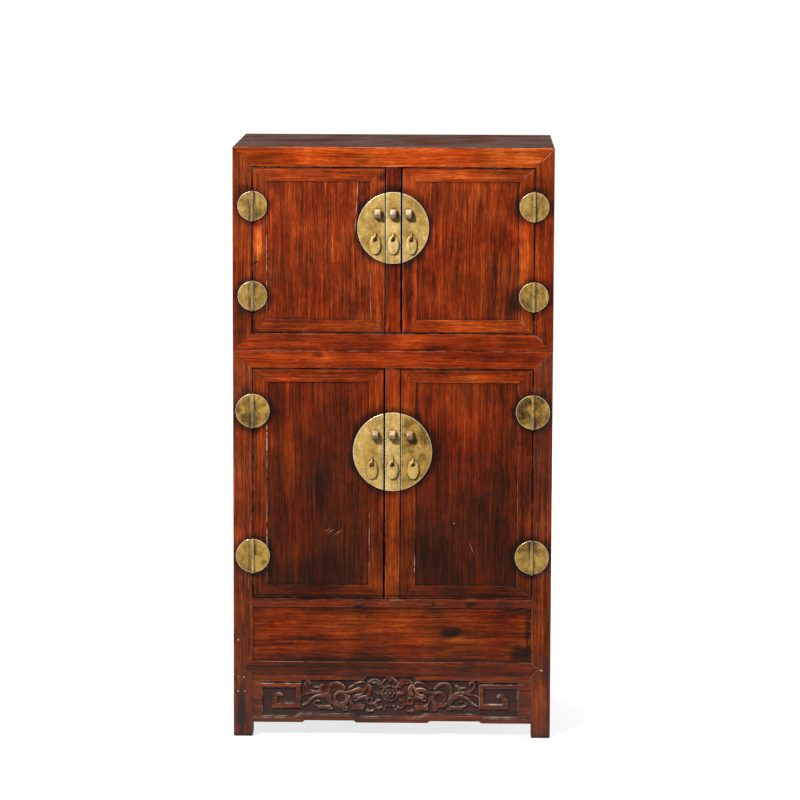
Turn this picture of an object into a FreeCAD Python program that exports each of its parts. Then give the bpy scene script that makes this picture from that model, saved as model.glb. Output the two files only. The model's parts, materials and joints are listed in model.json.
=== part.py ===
import FreeCAD, Part
import os
import re
import sys

import Sketcher

# A small compound cabinet: an upper chest that stands on a lower cabinet, each closed by two
# framed doors and a centre stile. Front is -Y, +Z is up, and the origin lies on the floor
# under the middle of the whole object, brass included. Sizes are in millimetres.

# Driving dimensions. Every cell of the sheet holds one of these plain numbers under its alias.
DIMENSIONS = {
    # Carcase
    "width": 480,
    "depth": 320,
    "post": 29,
    # Heights of the members of the front, from the floor up
    "foot": 22,
    "apron_height": 74,
    "base_rail": 20.5,
    "compartment": 83.5,
    "sill_rail": 13.5,
    "lower_opening": 351,
    "lower_head": 26.5,
    "upper_base": 26,
    "upper_opening": 249.5,
    "upper_head": 29.5,
    # Boards let into the frames
    "panel": 8,
    "panel_tongue": 6,
    "panel_recess": 4,
    "board": 10,
    "board_drop": 8,
    "top_rebate": 9,
    "front_panel": 9,
    "front_panel_recess": 2,
    # Joints of the front rails
    "tip_depth": 8,
    "tenon_length": 15,
    "tenon_width": 8,
    "tenon_shoulder": 3,
    # Door stops worked on the rails
    "stop_lip": 5,
    "stop_gap": 0.5,
    # Doors and centre stiles
    "door": 20,
    "door_stile": 22,
    "door_rail": 20,
    "door_panel": 9,
    "door_recess": 1.5,
    "batten": 30,
    "batten_inset": 1,
    "hinge_gap": 1,
    "door_gap": 1.2,
    "tight_gap": 1.6,
    "open_gap": 2.8,
    "stile": 22,
    "stile_gap": 0.6,
    # Aprons
    "apron": 16,
    "apron_setback": 1,
    "apron_step": 3,
    "apron_end": 75,
    "apron_middle": 54,
    "apron_slope": 4,
    "side_apron": 40,
    # Inside
    "shelf_level": 165,
    "shelf_gap": 0.5,
    "shelf_front": 31,
    "bearer_width": 25,
    "bearer_height": 12,
    "lid_gap": 1,
    "lid_notch_radius": 12,
    # Round hinges
    "leaf": 1.6,
    "upper_leaf_radius": 22,
    "lower_leaf_radius": 25.5,
    "barrel_radius": 2.6,
    "barrel_stand": 0.3,
    "barrel_overhang": 0.8,
    "pin_radius": 1.1,
    "pin_clearance": 0.05,
    "knuckle_gap": 0.3,
    "leaf_clearance": 0.3,
    "upper_hinge_high": 808,
    "upper_hinge_low": 673,
    "lower_hinge_high": 499.5,
    "lower_hinge_low": 278.5,
    # Round lock plates
    "plate": 1.8,
    "upper_plate_radius": 53.5,
    "lower_plate_radius": 59.5,
    "upper_lock_level": 776,
    "lower_lock_level": 438.5,
    # Lock staples
    "staple_width": 10,
    "staple_radius": 7.5,
    "staple_neck": 7.8,
    "staple_bore": 3.2,
    "shank_radius": 3,
    "shank_length": 13,
    "hole_clearance": 0.2,
    "upper_staple_rise": 21,
    "lower_staple_rise": 26,
    "upper_staple_offset": 23,
    "lower_staple_offset": 26,
    # Pulls and the loops that carry them
    "wire_radius": 1.2,
    "loop_radius": 5,
    "loop_stand": 4.2,
    "upper_loop_drop": 13,
    "lower_loop_drop": 14.5,
    "upper_pull_offset": 27,
    "lower_pull_offset": 31,
    "pull_half_width": 8.6,
    "pull_half_length": 13.9,
    "pull_thickness": 2,
    "pull_hole": 2.4,
    "pull_head": 6.6,
}

# Places, as formulas of the dimensions
REACH = "(plate + staple_neck + staple_radius)"
FRONT = f"(-(depth - {REACH}) / 2)"
BACK = f"({FRONT} + depth)"
BEHIND_POST = f"({FRONT} + post)"
BEFORE_POST = f"({BACK} - post)"
HALF = "(width / 2)"
CLEAR = "(width / 2 - post)"
PLATE_FACE = f"({FRONT} - plate)"
DOOR_BACK = f"({FRONT} + door)"

APRON_TOP = "(foot + apron_height)"
BASE_TOP = f"({APRON_TOP} + base_rail)"
SILL = f"({BASE_TOP} + compartment)"
SILL_TOP = f"({SILL} + sill_rail)"
LOWER_HEAD = f"({SILL_TOP} + lower_opening)"
SPLIT = f"({LOWER_HEAD} + lower_head)"
UPPER_FLOOR = f"({SPLIT} + upper_base)"
UPPER_HEAD = f"({UPPER_FLOOR} + upper_opening)"
TOP = f"({UPPER_HEAD} + upper_head)"
SHELF = f"({SILL_TOP} + shelf_level)"

SIDES = {"left": -1, "right": 1}
ROWS = ("front", "back")
AXES = {
    "x": FreeCAD.Vector(1, 0, 0),
    "y": FreeCAD.Vector(0, 1, 0),
    "z": FreeCAD.Vector(0, 0, 1),
}

doc = FreeCAD.newDocument("compound_cabinet")
nodes = {}


def make_sheet():
    """The sheet of driving dimensions, one aliased cell each."""
    sheet = doc.addObject("Spreadsheet::Sheet", "dims")
    for row, (alias, value) in enumerate(DIMENSIONS.items(), start=1):
        sheet.set(f"A{row}", alias)
        sheet.set(f"B{row}", str(value))
        sheet.setAlias(f"B{row}", alias)
    doc.recompute()


def formula(text):
    """A formula of plain dimension names, rewritten to read them from the sheet."""
    return re.sub(
        r"[A-Za-z_]\w*",
        lambda m: f"dims.{m.group()}" if m.group() in DIMENSIONS else m.group(),
        str(text),
    )


def bind(thing, **formulas):
    """Binds properties of a document object to formulas of the sheet."""
    for name, text in formulas.items():
        thing.setExpression(name.replace("__", "."), formula(text))
    return thing


def minus(text):
    return f"(-({text}))"


def mirrored(side, near, far):
    """The X range from near to far, measured from the middle, on one side of the cabinet."""
    return (near, far) if SIDES[side] > 0 else (minus(far), minus(near))


def signed(side, distance):
    return f"({SIDES[side]} * ({distance}))"


# Basic solids


def box(name, xs, ys, zs):
    solid = doc.addObject("Part::Box", name)
    for size, (low, high) in zip(("Length", "Width", "Height"), (xs, ys, zs)):
        bind(solid, **{size: f"({high}) - ({low})"})
    return bind(solid, Placement__Base__x=xs[0], Placement__Base__y=ys[0], Placement__Base__z=zs[0])


def rod(name, axis, radius, start, length, at):
    """A cylinder along an axis. It starts at start on that axis, and at holds the other two places."""
    solid = doc.addObject("Part::Cylinder", name)
    turn = FreeCAD.Rotation(AXES["z"], AXES[axis])
    solid.Placement = FreeCAD.Placement(FreeCAD.Vector(), turn)
    bind(solid, Radius=radius, Height=length)
    places = dict(zip([letter for letter in "xyz" if letter != axis], at))
    places[axis] = start
    return bind(solid, **{f"Placement__Base__{letter}": text for letter, text in places.items()})


def mitred(name, run, across, low, high, across_range, thick_range):
    """A board along run whose ends slope: it runs over low where across is least, high where it is most."""
    solid = doc.addObject("Part::Wedge", name)
    third = AXES[run].cross(AXES[across])
    forward = min(third) >= 0
    turn = FreeCAD.Rotation(AXES[run], AXES[across], third, "XYZ")
    solid.Placement = FreeCAD.Placement(FreeCAD.Vector(), turn)
    thick = thick_range if forward else (minus(thick_range[1]), minus(thick_range[0]))
    bind(solid, Xmin=low[0], Xmax=low[1], X2min=high[0], X2max=high[1])
    bind(solid, Ymin=across_range[0], Ymax=across_range[1])
    return bind(solid, Zmin=thick[0], Zmax=thick[1], Z2min=thick[0], Z2max=thick[1])


def outlined(name, points, y, thickness):
    """A board whose face is a closed outline in X and Z, each corner placed by two formulas."""
    body = doc.addObject("PartDesign::Body", name)
    sketch = body.newObject("Sketcher::SketchObject", f"{name}_outline")
    plane = next(p for p in body.Origin.OriginFeatures if p.Role == "XZ_Plane")
    sketch.AttachmentSupport = [(plane, "")]
    sketch.MapMode = "FlatFace"
    count = len(points)
    spots = [FreeCAD.Vector(index, index * index, 0) for index in range(count)]
    for index in range(count):
        sketch.addGeometry(Part.LineSegment(spots[index], spots[(index + 1) % count]), False)
    for index in range(count):
        sketch.addConstraint(Sketcher.Constraint("Coincident", index, 2, (index + 1) % count, 1))
    for index, corner in enumerate(points):
        for kind, text, value in zip(("DistanceX", "DistanceY"), corner, spots[index]):
            place = sketch.addConstraint(Sketcher.Constraint(kind, -1, 1, index, 1, float(value)))
            sketch.setExpression(f"Constraints[{place}]", formula(text))
    pad = body.newObject("PartDesign::Pad", f"{name}_pad")
    pad.Profile = sketch
    pad.Reversed = True
    bind(pad, Length=thickness)
    return bind(body, Placement__Base__y=y)


def combine(kind, name, base, tool):
    solid = doc.addObject(kind, name)
    solid.Base = base
    solid.Tool = tool
    return solid


def cut(name, base, *tools):
    for count, tool in enumerate(tools):
        base = combine("Part::Cut", f"{name}_cut{count}", base, tool)
    return base


def fuse(name, *solids):
    joined = doc.addObject("Part::MultiFuse", name)
    joined.Shapes = list(solids)
    joined.Refine = True
    return joined


def group(name, solids):
    """Several separate solids held in one object."""
    bundle = doc.addObject("Part::Compound", name)
    bundle.Links = solids
    return bundle


def node(label, *solids):
    """One sub-part of the cabinet: a solid, or a group of separate solids."""
    piece = group(label, list(solids))
    piece.Label = label
    nodes[label] = piece
    return piece


# Carcase members


def corner_post(name, side, row, zs, mitre_low, mitre_high):
    """A post whose mitred ends come to a point at the outer corner, where two rails meet it."""
    xs = mirrored(side, CLEAR, HALF)
    ys = (FRONT, BEHIND_POST) if row == "front" else (BEFORE_POST, BACK)
    inner = (f"{zs[0]} + {mitre_low}", f"{zs[1]} - {mitre_high}")
    by_side = (inner, zs) if side == "right" else (zs, inner)
    by_row = (zs, inner) if row == "front" else (inner, zs)
    face = mitred(f"{name}_face", "z", "x", *by_side, xs, ys)
    flank = mitred(f"{name}_flank", "z", "y", *by_row, ys, xs)
    return combine("Part::Common", name, face, flank)


def long_rail(name, row, zs, outer):
    """A front or back rail with both ends mitred to the posts and to the end rails."""
    ys = (FRONT, BEHIND_POST) if row == "front" else (BEFORE_POST, BACK)
    full, short = (minus(HALF), HALF), (minus(CLEAR), CLEAR)
    by_height = (short, full) if outer == "top" else (full, short)
    by_row = (full, short) if row == "front" else (short, full)
    face = mitred(f"{name}_face", "x", "z", *by_height, zs, ys)
    plan = mitred(f"{name}_plan", "x", "y", *by_row, ys, zs)
    return combine("Part::Common", name, face, plan)


def end_rail(name, side, zs, outer):
    """A rail across one end, mitred to the posts and to the long rails."""
    xs = mirrored(side, CLEAR, HALF)
    full, short = (FRONT, BACK), (BEHIND_POST, BEFORE_POST)
    by_height = (short, full) if outer == "top" else (full, short)
    by_side = (short, full) if side == "right" else (full, short)
    face = mitred(f"{name}_face", "y", "z", *by_height, zs, xs)
    plan = mitred(f"{name}_plan", "y", "x", *by_side, xs, zs)
    return combine("Part::Common", name, face, plan)


def stop(name, zs):
    """The lip behind the doors, worked on a front rail, that they close against."""
    return box(name, (minus(CLEAR), CLEAR), (f"{DOOR_BACK} + stop_gap", BEHIND_POST), zs)


def mitred_frame(label, zs, outer, lip, panels):
    """Four rails round the carcase. The front one carries a door stop."""
    rails = [fuse(f"{label}_front", long_rail(f"{label}_front_bar", "front", zs, outer), lip)]
    rails.append(long_rail(f"{label}_back", "back", zs, outer))
    rails += [end_rail(f"{label}_{side}", side, zs, outer) for side in SIDES]
    return node(label, *[cut(rail.Name, rail, panels) for rail in rails])


def through_rail(name, zs):
    """A front rail between the posts, with a pointed shoulder let into the face of each and a tenon."""
    middle = f"(({zs[0]} + {zs[1]}) / 2)"
    point = f"({CLEAR} + ({zs[1]} - {zs[0]}) / 2)"
    right = [(CLEAR, zs[0]), (point, middle), (CLEAR, zs[1])]
    outline = right + [(minus(x), z) for x, z in reversed(right)]
    face = outlined(f"{name}_face", outline, FRONT, "tip_depth")
    bar = box(f"{name}_bar", (minus(CLEAR), CLEAR), (f"{FRONT} + tip_depth", BEHIND_POST), zs)
    tenon_xs = (f"-{CLEAR} - tenon_length", f"{CLEAR} + tenon_length")
    tenon_ys = (f"{FRONT} + tip_depth", f"{FRONT} + tip_depth + tenon_width")
    tenon_zs = (f"{zs[0]} + tenon_shoulder", f"{zs[1]} - tenon_shoulder")
    return fuse(name, face, bar, box(f"{name}_tenons", tenon_xs, tenon_ys, tenon_zs))


# Boards let into the carcase

PANEL_YS = (f"{BEHIND_POST} - panel_tongue", f"{BEFORE_POST} + panel_tongue")
PANEL_XS = (f"-{CLEAR} - panel_tongue", f"{CLEAR} + panel_tongue")


def side_panel(name, side, zs):
    xs = mirrored(side, f"{HALF} - panel_recess - panel", f"{HALF} - panel_recess")
    return box(name, xs, PANEL_YS, (f"{zs[0]} - panel_tongue", f"{zs[1]} + panel_tongue"))


def back_panel(name, zs):
    ys = (f"{BACK} - panel_recess - panel", f"{BACK} - panel_recess")
    return box(name, PANEL_XS, ys, (f"{zs[0]} - panel_tongue", f"{zs[1]} + panel_tongue"))


def level_board(name, z_low):
    """A board lying in grooves of the four rails."""
    return box(name, PANEL_XS, PANEL_YS, (z_low, f"{z_low} + board"))


def make_upper_chest():
    inside = (UPPER_FLOOR, UPPER_HEAD)
    lid_xs = (f"-{CLEAR} - top_rebate", f"{CLEAR} + top_rebate")
    lid_ys = (f"{BEHIND_POST} - top_rebate", f"{BEFORE_POST} + top_rebate")
    top = box("upper_top", lid_xs, lid_ys, (f"{TOP} - board", TOP))
    floor = level_board("upper_floor", f"{UPPER_FLOOR} - board_drop - board")
    back = back_panel("upper_back", inside)
    sides = [side_panel(f"upper_{side}_panel", side, inside) for side in SIDES]
    panels = group("upper_panels", [top, floor, back, *sides])

    zs = (SPLIT, TOP)
    posts = []
    for side in SIDES:
        for row in ROWS:
            name = f"upper_{row}_{side}_post"
            post = corner_post(name, side, row, zs, "upper_base", "upper_head")
            posts.append(cut(name, post, panels))
    node("upper_posts", *posts)
    head_lip = stop("upper_head_lip", (f"{UPPER_HEAD} - stop_lip", UPPER_HEAD))
    mitred_frame("upper_top_frame", (UPPER_HEAD, TOP), "top", head_lip, panels)
    floor_lip = stop("upper_floor_lip", (UPPER_FLOOR, f"{UPPER_FLOOR} + stop_lip"))
    mitred_frame("upper_base_frame", (SPLIT, UPPER_FLOOR), "bottom", floor_lip, panels)
    node("upper_top_panel", top)
    node("upper_floor_panel", floor)
    node("upper_side_panels", *sides)
    node("upper_back_panel", back)


def make_lower_cabinet():
    inside = (BASE_TOP, LOWER_HEAD)
    top = level_board("lower_top", f"{LOWER_HEAD} + board_drop")
    floor = level_board("lower_floor", f"{BASE_TOP} - board_drop / 2 - board")
    back = back_panel("lower_back", inside)
    sides = [side_panel(f"lower_{side}_panel", side, inside) for side in SIDES]
    facing_ys = (f"{FRONT} + front_panel_recess", f"{FRONT} + front_panel_recess + front_panel")
    facing_zs = (f"{BASE_TOP} - panel_tongue", f"{SILL} + panel_tongue")
    facing = box("compartment_facing", PANEL_XS, facing_ys, facing_zs)
    panels = group("lower_panels", [top, floor, back, *sides, facing])

    sill_bar = through_rail("sill_bar", (SILL, SILL_TOP))
    base_bar = through_rail("base_front_bar", (APRON_TOP, BASE_TOP))
    posts = []
    for side in SIDES:
        for row in ROWS:
            name = f"lower_{row}_{side}_post"
            post = corner_post(name, side, row, ("0", SPLIT), "0", "lower_head")
            tools = [panels, sill_bar, base_bar] if row == "front" else [panels]
            posts.append(cut(name, post, *tools))
    node("lower_posts", *posts)
    head_lip = stop("lower_head_lip", (f"{LOWER_HEAD} - stop_lip", LOWER_HEAD))
    mitred_frame("lower_top_frame", (LOWER_HEAD, SPLIT), "top", head_lip, panels)
    sill_lip = stop("sill_lip", (SILL_TOP, f"{SILL_TOP} + stop_lip"))
    node("sill_rail", cut("sill", fuse("sill", sill_bar, sill_lip), panels))
    node("base_frame", *[cut(rail.Name, rail, panels) for rail in [base_bar, *plain_base_rails()]])
    node("lower_top_panel", top)
    node("compartment_floor", floor)
    node("compartment_front_panel", facing)
    node("lower_side_panels", *sides)
    node("lower_back_panel", back)


def plain_base_rails():
    """The back and end rails of the base, butted between the posts."""
    zs = (APRON_TOP, BASE_TOP)
    back = box("base_back_bar", (minus(CLEAR), CLEAR), (BEFORE_POST, BACK), zs)
    between = (BEHIND_POST, BEFORE_POST)
    return [back] + [box(f"base_{side}_bar", mirrored(side, CLEAR, HALF), between, zs) for side in SIDES]


# Aprons under the base


def apron_outline():
    """The front apron's face: a lower edge that steps up between its ends and its middle."""
    raised = "foot + apron_step"
    edge = [
        (CLEAR, "foot"),
        (f"{CLEAR} - apron_end", "foot"),
        (f"{CLEAR} - apron_end - apron_slope", raised),
        ("apron_middle + apron_slope", raised),
        ("apron_middle", "foot"),
    ]
    right = [(CLEAR, APRON_TOP)] + edge
    return right + [(minus(x), z) for x, z in reversed(right)]


def make_aprons():
    front = outlined("front_apron", apron_outline(), f"{FRONT} + apron_setback", "apron")
    zs = (f"{APRON_TOP} - side_apron", APRON_TOP)
    sides = []
    for side in SIDES:
        xs = mirrored(side, f"{HALF} - apron_setback - apron", f"{HALF} - apron_setback")
        sides.append(box(f"{side}_apron", xs, (BEHIND_POST, BEFORE_POST), zs))
    node("aprons", front, *sides)


# Inside the lower cabinet


def make_inside():
    panel_face = f"({HALF} - panel_recess - panel)"
    back_face = f"({BACK} - panel_recess - panel)"
    between = (BEHIND_POST, BEFORE_POST)
    bearers = []
    for side in SIDES:
        xs = mirrored(side, f"{panel_face} - bearer_width", panel_face)
        for name, top in (("lid", f"({SILL_TOP} - board)"), ("shelf", SHELF)):
            zs = (f"{top} - bearer_height", top)
            bearers.append(box(f"{name}_{side}_bearer", xs, between, zs))
    filler_zs = (f"{SILL_TOP} - board - bearer_height", SILL_TOP)
    bearers.append(box("lid_back_bearer", (minus(CLEAR), CLEAR), (BEFORE_POST, back_face), filler_zs))
    node("bearers", *bearers)

    shelf_xs = (f"-{CLEAR} + shelf_gap", f"{CLEAR} - shelf_gap")
    shelf_ys = (f"{FRONT} + shelf_front", f"{back_face} - shelf_gap")
    node("shelf", box("shelf_board", shelf_xs, shelf_ys, (SHELF, f"{SHELF} + board")))

    lid_xs = (f"-{panel_face} + lid_gap", f"{panel_face} - lid_gap")
    lid_ys = (f"{BEHIND_POST} + lid_gap", f"{BEFORE_POST} - lid_gap")
    lid_low = f"({SILL_TOP} - board)"
    lid = box("lid_board", lid_xs, lid_ys, (lid_low, SILL_TOP))
    notch = rod("lid_notch", "z", "lid_notch_radius", lid_low, "board", ("0", lid_ys[0]))
    node("compartment_lid", cut("lid", lid, notch))


# Brass fittings. Each group has a lock plate in three parts: on the two doors and on the stile.

BARREL_Y = f"({FRONT} - barrel_stand - barrel_radius)"
HINGE_X = f"({CLEAR} - hinge_gap / 2)"
LOOP_Y = f"({PLATE_FACE} - loop_stand)"
BORE_Y = f"({PLATE_FACE} - staple_neck)"


def barrel_length(radius):
    return f"(2 * ({radius} + barrel_overhang))"


def hinge_leaf(name, side, radius, z, holder):
    """Half of a round hinge: a half disc on the post or the door, with its share of the barrel."""
    x = signed(side, HINGE_X)
    outward = (holder == "post") == (side == "right")
    half_xs = (x, f"{x} + {radius}") if outward else (f"{x} - {radius}", x)
    whole_zs = (f"{z} - {radius}", f"{z} + {radius}")
    disc = rod(f"{name}_disc", "y", radius, f"{FRONT} - leaf", "leaf", (x, z))
    leaf_ys = (f"{FRONT} - leaf", FRONT)
    half = combine("Part::Common", f"{name}_half", disc, box(f"{name}_bound", half_xs, leaf_ys, whole_zs))
    own_low = holder == "post"
    room = "(barrel_radius + leaf_clearance)"
    clear_xs = (f"{x} - {room}", f"{x} + {room}")
    upper_zs = (f"{z} - knuckle_gap / 2", whole_zs[1])
    lower_zs = (whole_zs[0], f"{z} + knuckle_gap / 2")
    clear_zs = upper_zs if own_low else lower_zs
    notched = cut(f"{name}_half", half, box(f"{name}_clear", clear_xs, leaf_ys, clear_zs))
    barrel_low = f"{z} - {radius} - barrel_overhang"
    start = barrel_low if own_low else f"{z} + knuckle_gap / 2"
    share = f"{radius} + barrel_overhang - knuckle_gap / 2"
    barrel = rod(f"{name}_barrel", "z", "barrel_radius", start, share, (x, BARREL_Y))
    bore_radius = "pin_radius" if own_low else "pin_radius + pin_clearance"
    bore = rod(f"{name}_bore", "z", bore_radius, barrel_low, barrel_length(radius), (x, BARREL_Y))
    return cut(name, fuse(f"{name}_solid", notched, barrel), bore)


def make_hinges(tier):
    """The hinges of one tier. Post leaves and pins are returned, and door leaves are nodes of their own."""
    radius = f"{tier}_leaf_radius"
    post_leaves, pins = [], []
    for side in SIDES:
        door_leaves = []
        for place in ("high", "low"):
            z = f"{tier}_hinge_{place}"
            name = f"{tier}_{side}_{place}_hinge"
            post_leaves.append(hinge_leaf(f"{name}_post_leaf", side, radius, z, "post"))
            door_leaves.append(hinge_leaf(f"{name}_door_leaf", side, radius, z, "door"))
            at = (signed(side, HINGE_X), BARREL_Y)
            start = f"{z} - {radius} - barrel_overhang"
            pins.append(rod(f"{name}_pin", "z", "pin_radius", start, barrel_length(radius), at))
        node(f"{tier}_{side}_door_hinge_leaves", *door_leaves)
    return post_leaves, pins


def driven_hole(name, radius, at):
    """The hole through a plate and into the wood that a shank or a leg of wire is driven into."""
    depth = "plate + shank_length + hole_clearance"
    return rod(name, "y", f"{radius} + hole_clearance", PLATE_FACE, depth, at)


def lock_staple(name, x, z):
    """A lug with a cross bore for a lock bar, on a shank driven into the wood behind it."""
    xs = (f"{x} - staple_width / 2", f"{x} + staple_width / 2")
    neck = box(f"{name}_neck", xs, (BORE_Y, PLATE_FACE), (f"{z} - staple_radius", f"{z} + staple_radius"))
    nose = rod(f"{name}_nose", "x", "staple_radius", xs[0], "staple_width", (BORE_Y, z))
    shank = rod(f"{name}_shank", "y", "shank_radius", PLATE_FACE, "plate + shank_length", (x, z))
    bore = rod(f"{name}_bore", "x", "staple_bore", xs[0], "staple_width", (BORE_Y, z))
    hole = driven_hole(f"{name}_hole", "shank_radius", (x, z))
    return cut(name, fuse(f"{name}_solid", neck, nose, shank), bore), hole


def pull_loop(name, x, z):
    """A round wire bent to a loop that faces forward, with two legs driven into the wood."""
    bend = doc.addObject("Part::Torus", f"{name}_bend")
    turn = FreeCAD.Rotation(AXES["z"], -AXES["y"], AXES["x"], "XYZ")
    bend.Placement = FreeCAD.Placement(FreeCAD.Vector(), turn)
    bend.Angle3 = 180
    bind(bend, Radius1="loop_radius", Radius2="wire_radius")
    bind(bend, Placement__Base__x=x, Placement__Base__y=LOOP_Y, Placement__Base__z=z)
    length = "loop_stand + plate + shank_length"
    legs, holes = [], []
    for place, sign in (("upper", "+"), ("lower", "-")):
        at = (x, f"{z} {sign} loop_radius")
        legs.append(rod(f"{name}_{place}_leg", "y", "wire_radius", LOOP_Y, length, at))
        holes.append(driven_hole(f"{name}_{place}_hole", "wire_radius", at))
    return fuse(f"{name}_solid", bend, *legs), holes


def pull(name, x, z):
    """A flat oval pull that hangs on the lower leg of its loop."""
    oval = doc.addObject("Part::Ellipse", f"{name}_outline")
    turn = FreeCAD.Rotation(AXES["z"], AXES["x"], AXES["y"], "XYZ")
    oval.Placement = FreeCAD.Placement(FreeCAD.Vector(), turn)
    bind(oval, MajorRadius="pull_half_length", MinorRadius="pull_half_width")
    face = f"({LOOP_Y} - pull_thickness / 2)"
    hole_z = f"({z} - loop_radius)"
    middle = f"({hole_z} + pull_head - pull_half_length)"
    bind(oval, Placement__Base__x=x, Placement__Base__y=face, Placement__Base__z=middle)
    disc = doc.addObject("Part::Extrusion", f"{name}_disc")
    disc.Base = oval
    disc.DirMode = "Custom"
    disc.Dir = AXES["y"]
    disc.Solid = True
    bind(disc, LengthFwd="pull_thickness")
    hole = rod(f"{name}_hole", "y", "pull_hole", face, "pull_thickness", (x, hole_z))
    node(name, cut(name, disc, hole))


def lock_set(tier, place, x_range, sign):
    """One part of a round lock plate with its staple, loop and pull. Returns the holes it needs."""
    radius = f"{tier}_plate_radius"
    z = f"{tier}_lock_level"
    label = f"{tier}_{place}"
    disc = rod(f"{label}_disc", "y", radius, PLATE_FACE, "plate", ("0", z))
    bound = box(f"{label}_bound", x_range, (PLATE_FACE, FRONT), (f"{z} - {radius}", f"{z} + {radius}"))
    part = combine("Part::Common", f"{label}_part", disc, bound)
    staple_x, pull_x = f"({sign} * {tier}_staple_offset)", f"({sign} * {tier}_pull_offset)"
    staple, shank_hole = lock_staple(f"{label}_staple", staple_x, f"({z} + {tier}_staple_rise)")
    loop_z = f"({z} - {tier}_loop_drop)"
    loop, leg_holes = pull_loop(f"{label}_loop", pull_x, loop_z)
    holes = [shank_hole, *leg_holes]
    node(f"{label}_lock_plate", cut(f"{label}_plate", part, *holes))
    node(f"{label}_lock_staple", staple)
    node(f"{label}_pull_loop", loop)
    pull(f"{label}_pull", pull_x, loop_z)
    return holes


# Doors and centre stiles

# The doors have settled, so each tier has a tight gap on one side of its stile and an open one
# on the other.
MEETING_GAPS = {
    ("upper", "left"): "tight_gap",
    ("upper", "right"): "open_gap",
    ("lower", "left"): "open_gap",
    ("lower", "right"): "tight_gap",
}


def door_edge(tier, side):
    """How far from the middle a door ends, beside the stile."""
    return f"(stile / 2 + {MEETING_GAPS[tier, side]})"


def make_door(tier, side, opening, battens, holes):
    """A framed door: two stiles and two rails mitred round a panel, with battens across its back."""
    label = f"{tier}_{side}_door"
    xs = mirrored(side, door_edge(tier, side), f"{CLEAR} - hinge_gap")
    ys = (FRONT, DOOR_BACK)
    zs = (f"({opening[0]} + door_gap)", f"({opening[1]} - door_gap)")
    inner_xs = (f"{xs[0]} + door_stile", f"{xs[1]} - door_stile")
    inner_zs = (f"{zs[0]} + door_rail", f"{zs[1]} - door_rail")
    panel_ys = (f"{FRONT} + door_recess", f"{FRONT} + door_recess + door_panel")
    panel_xs = (f"{inner_xs[0]} - panel_tongue", f"{inner_xs[1]} + panel_tongue")
    panel_zs = (f"{inner_zs[0]} - panel_tongue", f"{inner_zs[1]} + panel_tongue")
    panel = box(f"{label}_board", panel_xs, panel_ys, panel_zs)
    meeting, hung = ("low", "high") if side == "right" else ("high", "low")
    stile_spans = {"low": (xs[0], inner_xs[0]), "high": (inner_xs[1], xs[1])}
    members = []
    for role, end in (("meeting", meeting), ("hung", hung)):
        ends = (zs, inner_zs) if end == "low" else (inner_zs, zs)
        stile = mitred(f"{label}_{role}_stile", "z", "x", *ends, stile_spans[end], ys)
        tools = [panel, *holes] if role == "meeting" else [panel]
        members.append(cut(stile.Name, stile, *tools))
    rail_spans = {"bottom": (zs[0], inner_zs[0]), "top": (inner_zs[1], zs[1])}
    for role, span in rail_spans.items():
        ends = (xs, inner_xs) if role == "bottom" else (inner_xs, xs)
        rail = mitred(f"{label}_{role}_rail", "x", "z", *ends, span, ys)
        members.append(cut(rail.Name, rail, panel))
    batten_ys = (panel_ys[1], f"{DOOR_BACK} - batten_inset")
    for count in range(battens):
        middle = f"({zs[0]} + ({zs[1]} - {zs[0]}) * {count + 1} / {battens + 1})"
        span = (f"{middle} - batten / 2", f"{middle} + batten / 2")
        members.append(box(f"{label}_batten{count}", inner_xs, batten_ys, span))
    node(f"{label}_frame", *members)
    node(f"{label}_panel", cut(f"{label}_board", panel, *holes))


def make_front(tier, opening, battens):
    """The two doors of a tier, the stile between them and all their brass."""
    radius = f"{tier}_plate_radius"
    for side, sign in SIDES.items():
        x_range = mirrored(side, door_edge(tier, side), radius)
        holes = lock_set(tier, f"{side}_door", x_range, sign)
        make_door(tier, side, opening, battens, holes)
    holes = lock_set(tier, "stile", ("-stile / 2", "stile / 2"), 0)
    bar_zs = (f"{opening[0]} + stile_gap", f"{opening[1]} - stile_gap")
    bar = box(f"{tier}_stile_bar", ("-stile / 2", "stile / 2"), (FRONT, DOOR_BACK), bar_zs)
    node(f"{tier}_centre_stile", cut(f"{tier}_stile", bar, *holes))


# Checking and writing


def check_document():
    """Stops if any object failed, or a sub-part has no valid solid."""
    faults = [o.Label for o in doc.Objects if {"Invalid", "Error"} & set(o.State)]
    for label, piece in nodes.items():
        shape = piece.Shape
        if shape.isNull() or not shape.isValid() or not shape.Solids:
            faults.append(label)
    if faults:
        sys.exit(f"failed objects: {faults}")


def write_parts():
    os.makedirs("parts", exist_ok=True)
    for old in os.listdir("parts"):
        os.remove(os.path.join("parts", old))
    for label, piece in nodes.items():
        piece.Shape.exportStep(os.path.join("parts", f"{label}.step"))
    print(len(nodes), "nodes,", sum(len(p.Shape.Solids) for p in nodes.values()), "solids")


def main():
    make_sheet()
    make_upper_chest()
    make_lower_cabinet()
    make_aprons()
    make_inside()
    post_leaves, pins = [], []
    for tier in ("upper", "lower"):
        leaves, tier_pins = make_hinges(tier)
        post_leaves += leaves
        pins += tier_pins
    node("hinge_post_leaves", *post_leaves)
    node("hinge_pins", *pins)
    make_front("upper", (UPPER_FLOOR, UPPER_HEAD), battens=1)
    make_front("lower", (SILL_TOP, LOWER_HEAD), battens=2)
    doc.recompute()
    check_document()
    write_parts()


main()
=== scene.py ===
import json
import math
import random

import bmesh
import bpy
import numpy as np
from mathutils import Matrix, Vector

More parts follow.
